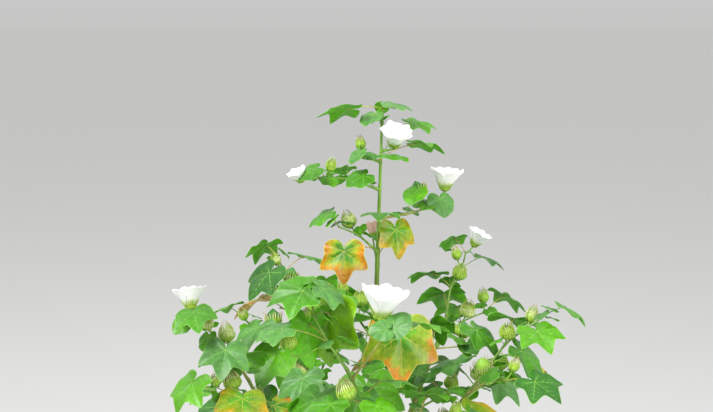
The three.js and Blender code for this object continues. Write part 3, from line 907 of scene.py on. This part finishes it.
def petal_skin(fruit, turn, close, phase):
    """Grid of points of one petal: from its claw out to a wide rim with one higher shoulder."""
    share = np.linspace(0.02, 1, 15)[:, None]
    wide = np.linspace(-1, 1, 21)[None, :]
    rim = fruit.size / 2 * (1 - 0.6 * close)
    tall = fruit.size * 0.67 * (1 + 0.4 * close)
    spread = mix(*PETAL_SPREAD, np.clip(share * 1.35, 0, 1) ** 0.8) * (1 - 0.12 * share**5)
    shoulder = 0.06 * np.exp(-(((wide - 0.42) / 0.3) ** 2)) - 0.05 * np.exp(-((wide / 0.2) ** 2))
    top = 1 - 0.2 * np.abs(wide) ** 2.4 + shoulder
    grown = share * top
    radius = CLAW_RADIUS + (rim - CLAW_RADIUS) * (0.72 * grown**0.75 + 0.28 * grown**2)
    ruffle = grown**4 * (1 - close)
    radius = radius + wide * 1.3 * share
    radius = radius + ruffle * fruit.size * 0.018 * np.sin(5.2 * wide + phase)
    height = 2 + (tall - 2) * grown * (1.02 - 0.05 * np.cos(2.6 * wide + phase) * grown**2)
    ribs = 0.1 * np.cos(34 * wide) * np.clip(share * 3, 0, 1)
    angle = turn + spread * wide + 22 * close * share
    return round_points(fruit, angle, radius + ribs, height)


def add_flower(petals, bits, fruit, close, roll):
    """Five overlapping petals round a column of anthers."""
    names = ["petal_base", "petal_low", "petal_cream", "petal_white"]
    if close:
        names = ["pink_base", "pink_low", "pink_petal", "pink_petal"]
    steps = np.array([petals.look(name) for name in names])
    bands = steps[np.searchsorted([0.13, 0.24, 0.42], np.linspace(0.03, 0.97, 14))]
    looks = np.repeat(bands[:, None], 20, axis=1)
    for k in range(PETALS):
        skin = petal_skin(fruit, 360 / PETALS * k + 10, close, roll() * ANY_PHASE)
        sheet(petals, skin, PETAL_THICKNESS, looks)
    rows = 11
    top = fruit.size * 0.3
    column = np.array([fruit.base + fruit.axis * (2 + top * i / rows) for i in range(rows + 1)])
    tube(bits, column, np.linspace(2.2, 0.9, rows + 1), 8, bits.look("column"))
    for k in range(ANTHERS):
        turn = np.array([ANTHER_TURN * k])
        height = np.array([top * (0.32 + 0.7 * k / ANTHERS)])
        reach = fruit.size * 0.05 * (1.25 - 0.5 * k / ANTHERS)
        tip = round_points(fruit, turn, np.array([reach]), height)[0]
        foot = round_points(fruit, turn, np.array([0.5]), height - 1)[0]
        tube(bits, np.array([foot, tip]), np.array([0.16, 0.16]), 3, bits.look("column"))
        bead = np.array([tip, tip + fruit.axis * 0.5, tip + fruit.axis * 1.1])
        tube(bits, bead, np.array([0.3, 0.62, 0.2]), 5, bits.look("anther"))


def bract_cup(bulge, length, mouth=None):
    """Radius at a height of bracts round a fruit, closed to a pointed tip or open to a mouth."""
    knee, rest = (0.34, 0.66) if mouth else (0.33, 0.67)

    def radius(height):
        rise = np.clip(height / length, 0, 1)
        grown = np.sin(math.pi / 2 * np.clip(rise / knee, 0, 1)) ** 0.8
        low = BRACT_FOOT + (bulge - BRACT_FOOT) * grown
        share = np.clip((rise - knee) / rest, 0, 1)
        pointed = bulge * (1 - 0.26 * share - 0.66 * share**2.2)
        high = mix(bulge, mouth, share**1.2) if mouth else pointed
        return np.where(rise < knee, low, high)

    return radius


def add_bract(kind, fruit, turn, length, radius, root, teeth, names, roll):
    """A heart-shaped bract with ribs, whose upper edge runs out into long narrow teeth.

    root is the share of the length where the teeth start, and names are the looks of the
    lower part, the upper part, the teeth and their tips.
    """
    looks = [kind.look(name) for name in names]
    share = np.linspace(0, 1, 8)[:, None]
    wide = np.linspace(-1, 1, 16)[None, :]
    spread = mix(*BRACT_SPREAD, np.sin(math.pi / 2 * np.clip(share * 1.6, 0, 1)))
    height = share * root * length * (1 - 0.16 * wide**2) - 0.04 * length * (1 - share) * wide**2
    lift = 0.8 * wide * share - 0.45 * np.cos(teeth * math.pi * wide) * (0.3 + 0.7 * share)
    columns = np.arange(15)[None, :]
    stripes = (share[:-1] > 0.3 + 0.25 * (columns % 3 == 0)) & (columns % 3 < 2)
    skin = round_points(fruit, turn + spread * wide, radius(height) + lift + 0.4, height)
    sheet(kind, skin, BRACT_THICKNESS, np.where(stripes, looks[1], looks[0]))
    for k in range(teeth):
        place = (k + 0.5) / teeth * 2 - 1
        foot = root * (1 - 0.16 * place**2) - 0.05
        full = mix(1.03, 0.76, abs(place) ** 1.2) * mix(0.93, 1.04, roll())
        lean = (roll() - 0.5) * 9
        out = mix(-0.3, 1.6, roll())
        share = np.linspace(0, 1, 7)[:, None]
        edge = np.array([-1.0, 0.0, 1.0])[None, :]
        half = 66 / teeth * (1 - 0.94 * share**0.75)
        height = mix(foot, full, share) * length + 0 * edge
        angle = turn + 61 * place + lean * share + half * edge
        reach = radius(height) + 0.4 + 0.7 * place * (1 - share) + 0.5 * (1 - abs(edge))
        skin = round_points(fruit, angle, reach + out * share**2, height)
        bands = np.repeat(looks[1:], (2, 3, 1))
        sheet(kind, skin, TOOTH_THICKNESS, np.repeat(bands[:, None], 2, axis=1))


def add_boll(kind, fruit, width, tall, look, roll):
    """A green boll: an egg with four or five seams and a pointed tip."""
    seams = 4 + (roll() > 0.5)
    share = np.linspace(0.02, 1, 15)[:, None]
    turn = np.linspace(0, 360, 30, endpoint=False)[None, :]
    belly = np.sin(math.pi * share**0.8) ** 0.72
    groove = 1 - 0.06 * (1 - np.abs(np.sin(seams * turn * RAD / 2))) ** 3
    taper = np.clip((share - 0.66) / 0.34, 0, 1) ** 2
    radius = width * belly * groove * (1 - 0.3 * taper) + 0.6 * taper
    height = 1 + (tall - 1) * share + 0 * turn
    skin = round_points(fruit, turn + 0 * share, radius, height)
    rows, columns = skin.shape[:2]
    tip = skin[-1].mean(0)
    cloud = np.concatenate([skin.reshape(-1, 3), [tip + fruit.axis * 0.8]])
    cap = fan(rows * columns, (rows - 1) * columns + np.arange(columns))
    kind.piece().add(cloud, [grid(rows, columns, True), cap], look)


BRACT_STYLES = [
    ("bract", "bract_lime", "bract_lime", "bract_pale"),
    ("bract_lime", "bract_pale", "bract_lime", "bract_pink"),
    ("bract", "bract_lime", "bract_pale", "bract_pink"),
]


def add_fruit_mesh(fruit, roll):
    """Petals, bracts and boll of one flower, bud or boll."""
    bolls = kinds["bolls"]
    size = fruit.size
    teeth = 7
    if fruit.kind in "fp":
        close = 0.5 if fruit.kind == "p" else 0
        add_flower(kinds["petals"], kinds["bits"], fruit, close, roll)
        names = ("bract", "bract_lime", "bract_lime", "bract_lime")
        length = size * (0.32 - 0.06 * close)
        cup = bract_cup(size * 0.16, length, size * 0.27 * (1 - 0.2 * close))
        root = 0.45
        teeth = 9
    else:
        bulge = size * (BUD_WIDTH if fruit.kind == "s" else BOLL_WIDTH)
        names = BRACT_STYLES[int(roll() * 2.99)]
        if roll() < 0.68 or fruit.closed or fruit.kind == "s":
            add_boll(bolls, fruit, bulge * 0.78, size * 0.66, bolls.look("bud"), roll)
            length = size
            cup = bract_cup(bulge, length)
            root = 0.5
        else:
            look = bolls.look("boll" if roll() < 0.4 else "boll_dark")
            add_boll(bolls, fruit, bulge * 0.97, size * 0.86, look, roll)
            length = size * 0.72
            cup = bract_cup(bulge * 1.03, length, bulge * 1.15)
            root = 0.4
    for k in range(BRACTS):
        turn = 20 + 360 / BRACTS * k
        add_bract(kinds["bracts"], fruit, turn, length, cup, root, teeth, names, roll)


# Twigs, stalks and limbs

TWIG_SIDES = 12
BOUGH_RINGS = 150
BOUGH_SIDES = 20
STEM_RINGS = 340
STEM_SIDES = 28


def lengths_along(path):
    """Length of a path from its start to each of its points."""
    return np.concatenate([[0], np.cumsum(np.linalg.norm(np.diff(path, axis=0), axis=1))])


def swollen(radii, away, amount, width):
    """Radii with a round swelling where the distance from its middle is 0."""
    return radii * (1 + amount * np.exp(-((away / width) ** 2)))


def widened(radii, beyond, width):
    """Radii half as large again at a foot, and less so the further beyond it."""
    return radii * (1 + 0.5 * np.exp(-np.clip(beyond, 0, None) / width))


def add_twig(kind, shoot):
    """A shoot's twig: it tapers, and swells at each node and where it leaves the limb."""
    path = smooth_path([shoot.start, *shoot.nodes], 9)
    length = lengths_along(path)
    share = length / length[-1]
    radii = mix(TWIG_RADIUS, TWIG_TIP_RADIUS, share)
    for node in shoot.nodes:
        radii = swollen(radii, np.linalg.norm(path - node, axis=1), 0.42, 3.6)
    limb = limbs[shoot.limb].radius(shoot.share)
    radii = widened(radii, np.linalg.norm(path - shoot.start, axis=1) - limb, 5)
    turn = circle(TWIG_SIDES)
    rough = ripple(turn[None, :], (share * 300)[:, None], 30, 91 + len(shoot.nodes))
    look = "twig_tan" if shoot.roll() < 0.4 else "twig_green"
    tube(kind, path, radii[:, None] * (1 + 0.05 * rough), TWIG_SIDES, kind.look(look))


def add_stalk(kind, start, leaf, look, fine=True):
    """A leaf's stalk, thicker at both ends."""
    size = min(1.15, max(0.42, leaf.length / 62))
    foot = leaf.at - leaf.n * 0.5 * size
    path = stalk_line(start, foot, 14 if fine else 8)
    share = np.linspace(0, 1, len(path))
    radii = size * (1.0 + 0.45 * np.exp(-share * 14) + 0.35 * np.exp(-(1 - share) * 16))
    tube(kind, path, radii, 9 if fine else 6, kind.look(look))
    pad = np.array([path[-1], leaf.at + leaf.u * 2.2 * size + leaf.n * 0.2])
    tube(kind, pad, np.array([1.3, 0.7]) * size, 7, kind.look(look))


def add_stipules(kind, start, leaf, roll):
    """A pair of small pointed scales where a stalk leaves the twig."""
    out = unit(leaf.at - start)
    side = unit(np.cross(out, UP + 0.01))
    for hand in (-1, 1):
        tip = start + out * 4 + side * hand * mix(4, 6, roll()) + UP * mix(1, 4, roll())
        path = np.array([start + out * 2 + side * hand, mix(start + out * 2, tip, 0.6), tip])
        tube(kind, path, np.array([0.8, 0.7, 0.12]), 4, kind.look("stalk_green"))


def add_peduncle(kind, start, fruit):
    """A fruit's stalk, which widens under the fruit."""
    reach = np.linalg.norm(fruit.base - start)
    middle = fruit.base - fruit.axis * reach * 0.4
    share = np.linspace(0, 1, 11)
    top = fruit.base + fruit.axis * 1.5
    path = np.array([bent(start, middle, top, t) for t in share])
    radii = 1.35 + 1.3 * np.exp(-(1 - share) * 12) + 0.5 * np.exp(-share * 12)
    tube(kind, path, radii, 9, kind.look("stalk_green"))


def stem_skin(kind):
    """The main stem: level rings, a flared foot, swollen nodes and shallow bark ridges."""
    height = STEM_HEIGHT * np.linspace(0, 1, STEM_RINGS) ** 1.15
    turn = circle(STEM_SIDES)
    middle = np.array([stem_point(z) for z in height])
    radii = np.array([stem_radius(z) for z in height])
    starts = [height for height, _, _ in BOUGHS.values()]
    starts += [shoot.start[2] for shoot in shoots if shoot.limb == "main_stem"]
    for start in starts:
        radii = swollen(radii, height - start, 0.1, 7)
    low = 1 - np.clip(height / 620, 0, 1)
    ridges = ripple(turn[None, :], height[:, None], 46, 11)
    fine = ripple(3 * turn[None, :], height[:, None], 9, 12)
    root = np.exp(-height / 16)[:, None] * np.cos(5 * turn + 0.6)[None, :]
    relief = ridges * (0.035 + 0.05 * low)[:, None] + fine * (0.012 + 0.03 * low)[:, None]
    radii = radii[:, None] * (1 + relief + 0.1 * root)
    ring = np.stack([np.cos(turn), np.sin(turn), 0 * turn], -1)
    skin = middle[:, None, :] + radii[:, :, None] * ring[None, :, :]
    look = kind.look("bark")
    closed_body(kind, skin, middle[0], middle[-1] + UP * 0.8, [look, look + FLAT, look])


def bough_skin(kind, name, seed):
    """A bough: one tapering limb that swells where it leaves the stem and at its nodes."""
    limb = limbs[name]
    share = np.linspace(0, 1, BOUGH_RINGS)
    path = np.array([limb.centre(t) for t in share])
    length = lengths_along(path)
    radii = np.array([limb.radius(t) for t in share])
    radii = widened(radii, length - stem_radius(BOUGHS[name][0]), 9)
    for shoot in shoots:
        if shoot.limb == name:
            radii = swollen(radii, length - shoot.share * length[-1], 0.13, 6)
    turn = circle(BOUGH_SIDES)
    low = 1 - share
    relief = ripple(turn[None, :], length[:, None], 40, seed) * (0.03 + 0.03 * low)[:, None]
    relief = relief + ripple(2 * turn[None, :], length[:, None], 8, seed + 1) * 0.018
    tube(kind, path, radii[:, None] * (1 + relief), BOUGH_SIDES, kind.look("bark_bough"))


# Small leaves: length low on the plant and at its top, clearance, radius of the stalk, and tries
SMALL_LENGTH = (38, 22)
SMALL_CLEARANCE = 2.5
SMALL_STALK = 0.6
SMALL_TRIES = 12


def grow_small_leaves(shoot):
    """Finer growth in the shoot's own reach: small leaves on short stalks at its nodes."""
    mine = [other for other in placed if other.mass == shoot.name]
    low = np.min([other.low - other.radius for other in mine], axis=0) - 4
    high = np.max([other.high + other.radius for other in mine], axis=0) + 4
    roll = dice(round(abs(shoot.start[0] * 17 + shoot.start[2] * 31)) + 5)
    small = []
    for node in range(-1, len(shoot.nodes)):
        start = node_point(shoot, node)
        age = min(1, start[2] / STEM_HEIGHT)
        for _ in range(2 if node < len(shoot.nodes) - 1 else 3):
            for _ in range(SMALL_TRIES):
                length = mix(*SMALL_LENGTH, age) * mix(0.6, 1.1, roll())
                bearing = 360 * roll()
                at = start + heading(bearing, mix(0, 62, roll())) * length * mix(0.5, 0.95, roll())
                turn = bearing + 50 * (roll() - 0.5)
                leaf = leaf_frame(at, turn, mix(10, -55, roll()), 60 * (roll() - 0.5), length)
                bend = mix(0.08, 0.3, roll())
                cloud = leaf_samples(leaf, bend)
                if (cloud < low).any() or (cloud > high).any():
                    continue
                if not is_clear(cloud, 0, clearance=SMALL_CLEARANCE):
                    continue
                if not is_clear(samples([start, at])[1:], SMALL_STALK, twig_of(shoot), 2):
                    continue
                record(shoot.name, "blade", cloud, 0)
                small.append((start, leaf, bend))
                break
    return small


# Materials


def linked(tree, kind, inputs=(), **settings):
    """A node with its settings and with its inputs set or linked."""
    node = tree.nodes.new(kind)
    for name, value in settings.items():
        setattr(node, name, value)
    for name, value in inputs:
        if isinstance(value, bpy.types.NodeSocket):
            tree.links.new(value, node.inputs[name])
        else:
            node.inputs[name].default_value = value
    return node


def ramp(tree, factor, stops):
    """Colours along a factor: stops are places and colours."""
    node = linked(tree, "ShaderNodeValToRGB", [("Fac", factor)])
    row = node.color_ramp.elements
    while len(row) < len(stops):
        row.new(0.5)
    for element, (place, colour) in zip(row, stops):
        element.position = place
        element.color = (*colour, 1)
    return node.outputs["Color"]


def shade(colour, amount):
    return tuple(min(1.0, part * amount) for part in colour)


def start_material(name, roughness, specular):
    """A material with its node tree, its shader and the object's own coordinates."""
    material = bpy.data.materials.new(name)
    material.use_nodes = True
    tree = material.node_tree
    shader = tree.nodes["Principled BSDF"]
    shader.inputs["Roughness"].default_value = roughness
    shader.inputs["Specular IOR Level"].default_value = specular
    place = linked(tree, "ShaderNodeTexCoord").outputs["Object"]
    return material, tree, shader, place


def stretched(tree, place, along):
    """Coordinates that are stretched along Z."""
    inputs = [("Vector", place), ("Scale", (1, 1, along))]
    return linked(tree, "ShaderNodeMapping", inputs).outputs["Vector"]


def noise(tree, place, scale, detail=3):
    """Cloudy values over space."""
    inputs = [("Vector", place), ("Scale", scale), ("Detail", detail)]
    return linked(tree, "ShaderNodeTexNoise", inputs).outputs["Fac"]


def blended(tree, first, second, share):
    """Two values mixed by a share."""
    inputs = [("Factor", share), ("A", first), ("B", second)]
    return linked(tree, "ShaderNodeMix", inputs).outputs["Result"]


def spotted(tree, shader, share, skin, dots):
    """The shader's colour: a skin with dots of another colour over it."""
    inputs = [("Factor", share), ("A", skin), ("B", (*dots, 1))]
    colours = linked(tree, "ShaderNodeMix", inputs, data_type="RGBA")
    tree.links.new(colours.outputs["Result"], shader.inputs["Base Color"])


def bumped(tree, shader, height, distance, strength):
    """Relief on the shader's normal."""
    inputs = [("Height", height), ("Distance", distance), ("Strength", strength)]
    node = linked(tree, "ShaderNodeBump", inputs)
    tree.links.new(node.outputs["Normal"], shader.inputs["Normal"])


def leaf_material(name, colour, roughness, spread=0.3, warm=0.0):
    """Leaf skin: broad and fine mottling, a net of tiny veins and a soft gloss."""
    material, tree, shader, place = start_material(name, roughness, 0.42)
    broad = noise(tree, place, 16)
    fine = noise(tree, place, 130, 4)
    cloud = blended(tree, broad, fine, 0.45)
    pale = (colour[0] * (1.25 + warm), colour[1] * 1.16, colour[2] * 1.2)
    stops = [(0.34, shade(colour, 1 - spread)), (0.5, colour), (0.66, shade(pale, 1 + spread / 2))]
    tree.links.new(ramp(tree, cloud, stops), shader.inputs["Base Color"])
    inputs = [("Vector", place), ("Scale", 520)]
    net = linked(tree, "ShaderNodeTexVoronoi", inputs, feature="DISTANCE_TO_EDGE")
    height = blended(tree, net.outputs["Distance"], fine, 0.4)
    bumped(tree, shader, height, 0.0006, 0.55)
    return material


def spotted_material(name, colour, dots, roughness):
    """Boll or stalk skin: mottled, with tiny glands."""
    material, tree, shader, place = start_material(name, roughness, 0.45)
    cloud = noise(tree, place, 90)
    stops = [(0.35, shade(colour, 0.78)), (0.65, shade(colour, 1.2))]
    skin = ramp(tree, cloud, stops)
    cells = linked(tree, "ShaderNodeTexVoronoi", [("Vector", place), ("Scale", 900)])
    spot = ramp(tree, cells.outputs["Distance"], [(0.1, (1, 1, 1)), (0.24, (0, 0, 0))])
    spotted(tree, shader, spot, skin, dots)
    bumped(tree, shader, cells.outputs["Distance"], 0.0004, 0.3)
    return material


def petal_material(name, colour):
    """Petal or anther: fine fibres in a thin, soft sheet."""
    material, tree, shader, place = start_material(name, 0.62, 0.3)
    cloud = blended(tree, noise(tree, place, 60), noise(tree, place, 420, 2), 0.5)
    stops = [(0.36, shade(colour, 0.9)), (0.6, colour)]
    tree.links.new(ramp(tree, cloud, stops), shader.inputs["Base Color"])
    bumped(tree, shader, noise(tree, stretched(tree, place, 0.25), 500), 0.0005, 0.35)
    shader.inputs["Sheen Weight"].default_value = 0.15
    return material


PORE_COLOUR = (0.2, 0.13, 0.06)


def bark_material(name, stops, low, high):
    """Bark that turns from brown at the foot to tan and green above, with streaks and pores."""
    material, tree, shader, place = start_material(name, 0.6, 0.35)
    height = linked(tree, "ShaderNodeSeparateXYZ", [("Vector", place)]).outputs["Z"]
    inputs = [("Value", height), ("From Min", low), ("From Max", high)]
    share = linked(tree, "ShaderNodeMapRange", inputs).outputs["Result"]
    streak = noise(tree, stretched(tree, place, 0.09), 240, 4)
    patch = noise(tree, stretched(tree, place, 0.5), 34)
    mixed = blended(tree, streak, patch, 0.5)
    factor = blended(tree, share, mixed, 0.38)
    base = ramp(tree, factor, stops)
    inputs = [("Vector", stretched(tree, place, 0.4)), ("Scale", 260)]
    cells = linked(tree, "ShaderNodeTexVoronoi", inputs)
    pore = ramp(tree, cells.outputs["Distance"], [(0.1, (0.6, 0.6, 0.6)), (0.22, (0, 0, 0))])
    spotted(tree, shader, pore, base, PORE_COLOUR)
    bumped(tree, shader, blended(tree, streak, cells.outputs["Distance"], 0.3), 0.0012, 0.6)
    return material


LEAF_COLOURS = {
    "leaf_fresh": (0.09, 0.33, 0.004),
    "leaf_mid": (0.06, 0.25, 0.006),
    # Bluish green that stands for painted sheen from the sky on a leaf's top
    "leaf_painted_sheen": (0.09, 0.27, 0.05),
    "leaf_deep": (0.03, 0.15, 0.012),
    "leaf_lit": (0.17, 0.4, 0.003),
    "leaf_lime": (0.22, 0.36, 0.006),
    "leaf_yellow": (0.31, 0.36, 0.009),
    "leaf_gold": (0.46, 0.31, 0.008),
    "leaf_orange": (0.54, 0.23, 0.006),
    "leaf_rust": (0.4, 0.16, 0.012),
    "under_pale": (0.16, 0.32, 0.06),
    "under_lit": (0.11, 0.44, 0.002),
    "edge": (0.2, 0.43, 0.07),
    "vein": (0.18, 0.42, 0.07),
    "vein_gold": (0.5, 0.5, 0.08),
}
PETAL_COLOURS = {
    "petal_base": (0.62, 0.72, 0.12),
    "petal_low": (0.78, 0.86, 0.38),
    "petal_cream": (0.87, 0.91, 0.66),
    "petal_white": (0.92, 0.92, 0.9),
    "pink_base": (0.62, 0.52, 0.22),
    "pink_low": (0.78, 0.52, 0.36),
    "pink_petal": (0.84, 0.53, 0.44),
}
BIT_COLOURS = {"column": (0.75, 0.76, 0.42), "anther": (0.85, 0.68, 0.15)}
BRACT_COLOURS = {
    "bract": (0.2, 0.4, 0.025),
    "bract_lime": (0.33, 0.51, 0.05),
    "bract_pale": (0.52, 0.6, 0.24),
    "bract_pink": (0.5, 0.36, 0.16),
}
BOLL_COLOURS = {
    "boll": (0.24, 0.45, 0.04),
    "boll_dark": (0.06, 0.24, 0.04),
    "bud": (0.38, 0.5, 0.13),
}
STALK_COLOURS = {
    "stalk_tan": (0.38, 0.37, 0.07),
    "stalk_pink": (0.46, 0.3, 0.11),
    "stalk_green": (0.18, 0.4, 0.03),
    "twig_green": (0.19, 0.36, 0.05),
    "twig_tan": (0.34, 0.35, 0.08),
}

# Stem colours by height: brown at the foot to green above, with a darker olive band that is partly
# painted shade
STEM_BARK_AND_SHADE_STOPS = [
    (0.2, (0.14, 0.065, 0.03)),
    (0.38, (0.25, 0.16, 0.06)),
    (0.54, (0.17, 0.21, 0.03)),
    # Darker olive: partly the stem's own olive, partly painted shade from the leaves around it
    (0.65, (0.12, 0.22, 0.02)),
    (0.76, (0.25, 0.47, 0.06)),
]
BOUGH_STOPS = [
    (0.2, (0.18, 0.09, 0.04)),
    (0.38, (0.29, 0.22, 0.08)),
    (0.54, (0.26, 0.32, 0.07)),
    (0.74, (0.13, 0.3, 0.035)),
]

# The limbs' looks: colours from foot to tip, and the heights that these lie between in metres
LIMB_LOOKS = {"bark": (STEM_BARK_AND_SHADE_STOPS, 0.0, 1.0), "bark_bough": (BOUGH_STOPS, 0.1, 0.75)}
LEAF_DEPTH = 0.92
BOLL_DOTS = (0.06, 0.1, 0.02)
STALK_DOTS = (0.3, 0.18, 0.06)

kinds = {
    "leaves": Kind("leaves", LEAF_COLOURS),
    "petals": Kind("petals", PETAL_COLOURS),
    "bits": Kind("flower_hearts", BIT_COLOURS),
    "bracts": Kind("bracts", BRACT_COLOURS),
    "bolls": Kind("bolls", BOLL_COLOURS),
    "stalks": Kind("stalks", STALK_COLOURS),
    "limbs": Kind("stem_and_boughs", LIMB_LOOKS),
}


def make_material(key, name):
    """The material of one look of a kind."""
    colour = kinds[key].looks[name]
    if key == "leaves":
        warm = 0.25 if name in ("leaf_yellow", "leaf_gold", "leaf_orange") else 0
        roughness = 0.6 if "under" in name else 0.38
        return leaf_material(name, shade(colour, LEAF_DEPTH), roughness, warm=warm)
    if key in ("petals", "bits"):
        return petal_material(name, colour)
    if key == "bracts":
        return leaf_material(name, colour, 0.55, 0.22)
    if key == "bolls":
        return spotted_material(name, colour, BOLL_DOTS, 0.45)
    if key == "stalks":
        return spotted_material(name, colour, STALK_DOTS, 0.5)
    return bark_material(name, *colour)


def linked_object(name, data, place=(0, 0, 0)):
    """An object in the scene with a mesh, a light or a camera."""
    made = bpy.data.objects.new(name, data)
    made.location = place
    bpy.context.scene.collection.objects.link(made)
    return made


def build_piece(piece, materials):
    """A mesh object in metres from the collected points and faces."""
    points = np.concatenate(piece.points) / 1000
    triangles = np.concatenate(piece.faces[3]).reshape(-1)
    quads = np.concatenate(piece.faces[4]).reshape(-1)
    looks = np.concatenate(piece.looks[3] + piece.looks[4])
    corners = np.concatenate([triangles, quads])
    sizes = np.repeat([3, 4], [len(triangles) // 3, len(quads) // 4])
    starts = np.concatenate([[0], np.cumsum(sizes)[:-1]])
    mesh = bpy.data.meshes.new(piece.name)
    mesh.vertices.add(len(points))
    mesh.loops.add(len(corners))
    mesh.polygons.add(len(sizes))
    for rows, name, values in (
        (mesh.vertices, "co", points.reshape(-1).astype(np.float32)),
        (mesh.loops, "vertex_index", corners.astype(np.int32)),
        (mesh.polygons, "loop_start", starts.astype(np.int32)),
        (mesh.polygons, "material_index", (looks % FLAT).astype(np.int32)),
        (mesh.polygons, "use_smooth", looks < FLAT),
    ):
        rows.foreach_set(name, values)
    for material in materials:
        mesh.materials.append(material)
    mesh.update(calc_edges=True)
    mesh.validate()
    return linked_object(piece.name, mesh)


def stalk_look(tint, roll):
    """A look for a leaf's stalk by chance, pink or tan under a leaf that turns."""
    pick = roll()
    if tint in WARM_TINTS:
        return "stalk_pink" if pick < 0.6 else "stalk_tan"
    return "stalk_tan" if pick < 0.5 else "stalk_green" if pick < 0.86 else "stalk_pink"


def dress_shoot(shoot):
    """Meshes of one shoot: twig, stalks, leaves and fruit."""
    add_twig(kinds["stalks"], shoot)
    for part in shoot.leaves:
        add_stalk(kinds["stalks"], part.start, part.leaf, stalk_look(part.tint, shoot.roll))
        add_blade(kinds["leaves"], part.leaf, part.bend, part.tint, shoot.roll)
        add_stipules(kinds["stalks"], part.start, part.leaf, shoot.roll)
    for start, fruit in shoot.fruits:
        add_peduncle(kinds["stalks"], start, fruit)
        add_fruit_mesh(fruit, shoot.roll)
    for start, leaf, bend in shoot.small:
        # Small leaves are fresh, mid or bluish green, the last a painted sheen
        tint = ("fresh", "mid", "painted_sheen")[int(shoot.roll() * 2.99)]
        add_stalk(kinds["stalks"], start, leaf, "stalk_green", fine=False)
        add_blade(kinds["leaves"], leaf, bend, tint, shoot.roll, fine=False)


for shoot in shoots:
    shoot.small = grow_small_leaves(shoot)
for shoot in shoots:
    dress_shoot(shoot)
stem_skin(kinds["limbs"])
for number, name in enumerate(BOUGHS):
    bough_skin(kinds["limbs"], name, 20 + 2 * number)

masses = [shoot.name for shoot in shoots]
total = 0
for key, kind in kinds.items():
    materials = [make_material(key, name) for name in kind.looks]
    for piece in kind.pieces:
        made = build_piece(piece, materials)
        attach(made, "root")
        if key == "limbs":
            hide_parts(*limbs)
        if key == "leaves":
            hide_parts(*masses)
        total += piece.triangles
        print(piece.name, piece.triangles)
print("small leaves", sum(len(shoot.small) for shoot in shoots), "triangles", total)


# Floor, light and camera

HORIZON = (0.56, 0.562, 0.555)
FLOOR_COLOUR = (0.6, 0.6, 0.59)
FLOOR_HALF = 400
LENS = 60.59
CAMERA_PLACE = (-0.0174, -2.2, 1.187)
CAMERA_DOWN = 8.624
CROWN = (0, 0, 0.7)


def add_floor():
    """A plain pale floor at ground level, which reaches out to the horizon."""
    mesh = bpy.data.meshes.new("floor")
    signs = ((-1, -1), (1, -1), (1, 1), (-1, 1))
    mesh.from_pydata([(x * FLOOR_HALF, y * FLOOR_HALF, 0) for x, y in signs], [], [(0, 1, 2, 3)])
    floor = linked_object("floor", mesh)
    material, _, shader, _ = start_material("floor", 0.9, 0.1)
    shader.inputs["Base Color"].default_value = (*FLOOR_COLOUR, 1)
    mesh.materials.append(material)


def add_light(name, place, size, power):
    """A round soft light at a place, which faces the crown."""
    light = bpy.data.lights.new(name, "AREA")
    light.shape = "DISK"
    light.size = size
    light.energy = power
    made = linked_object(name, light, place)
    toward = Vector(CROWN) - Vector(place)
    made.rotation_euler = toward.to_track_quat("-Z", "Y").to_euler()


def add_world():
    """Soft light from all round, brighter overhead, and at the horizon as bright as the floor."""
    world = bpy.data.worlds.new("studio")
    world.use_nodes = True
    tree = world.node_tree
    place = linked(tree, "ShaderNodeTexCoord").outputs["Generated"]
    height = linked(tree, "ShaderNodeSeparateXYZ", [("Vector", place)]).outputs["Z"]
    stops = [(0.0, HORIZON), (0.3, (0.8, 0.81, 0.81)), (1.0, (1.0, 1.0, 1.0))]
    background = tree.nodes["Background"]
    tree.links.new(ramp(tree, height, stops), background.inputs["Color"])
    bpy.context.scene.world = world


def add_camera():
    """The photograph's view: from in front, a little above the crown and tilted down."""
    camera = bpy.data.cameras.new("camera")
    camera.lens = LENS
    camera.sensor_width = 36
    made = linked_object("camera", camera, CAMERA_PLACE)
    made.rotation_euler = (math.radians(90 - CAMERA_DOWN), 0, 0)
    bpy.context.scene.camera = made
    bpy.context.scene.view_settings.view_transform = "Standard"


add_floor()
add_world()
add_light("key", (-1.6, -1.7, 3.0), size=1.4, power=110)
add_light("fill", (2.2, -1.9, 1.5), size=2.0, power=55)
add_camera()
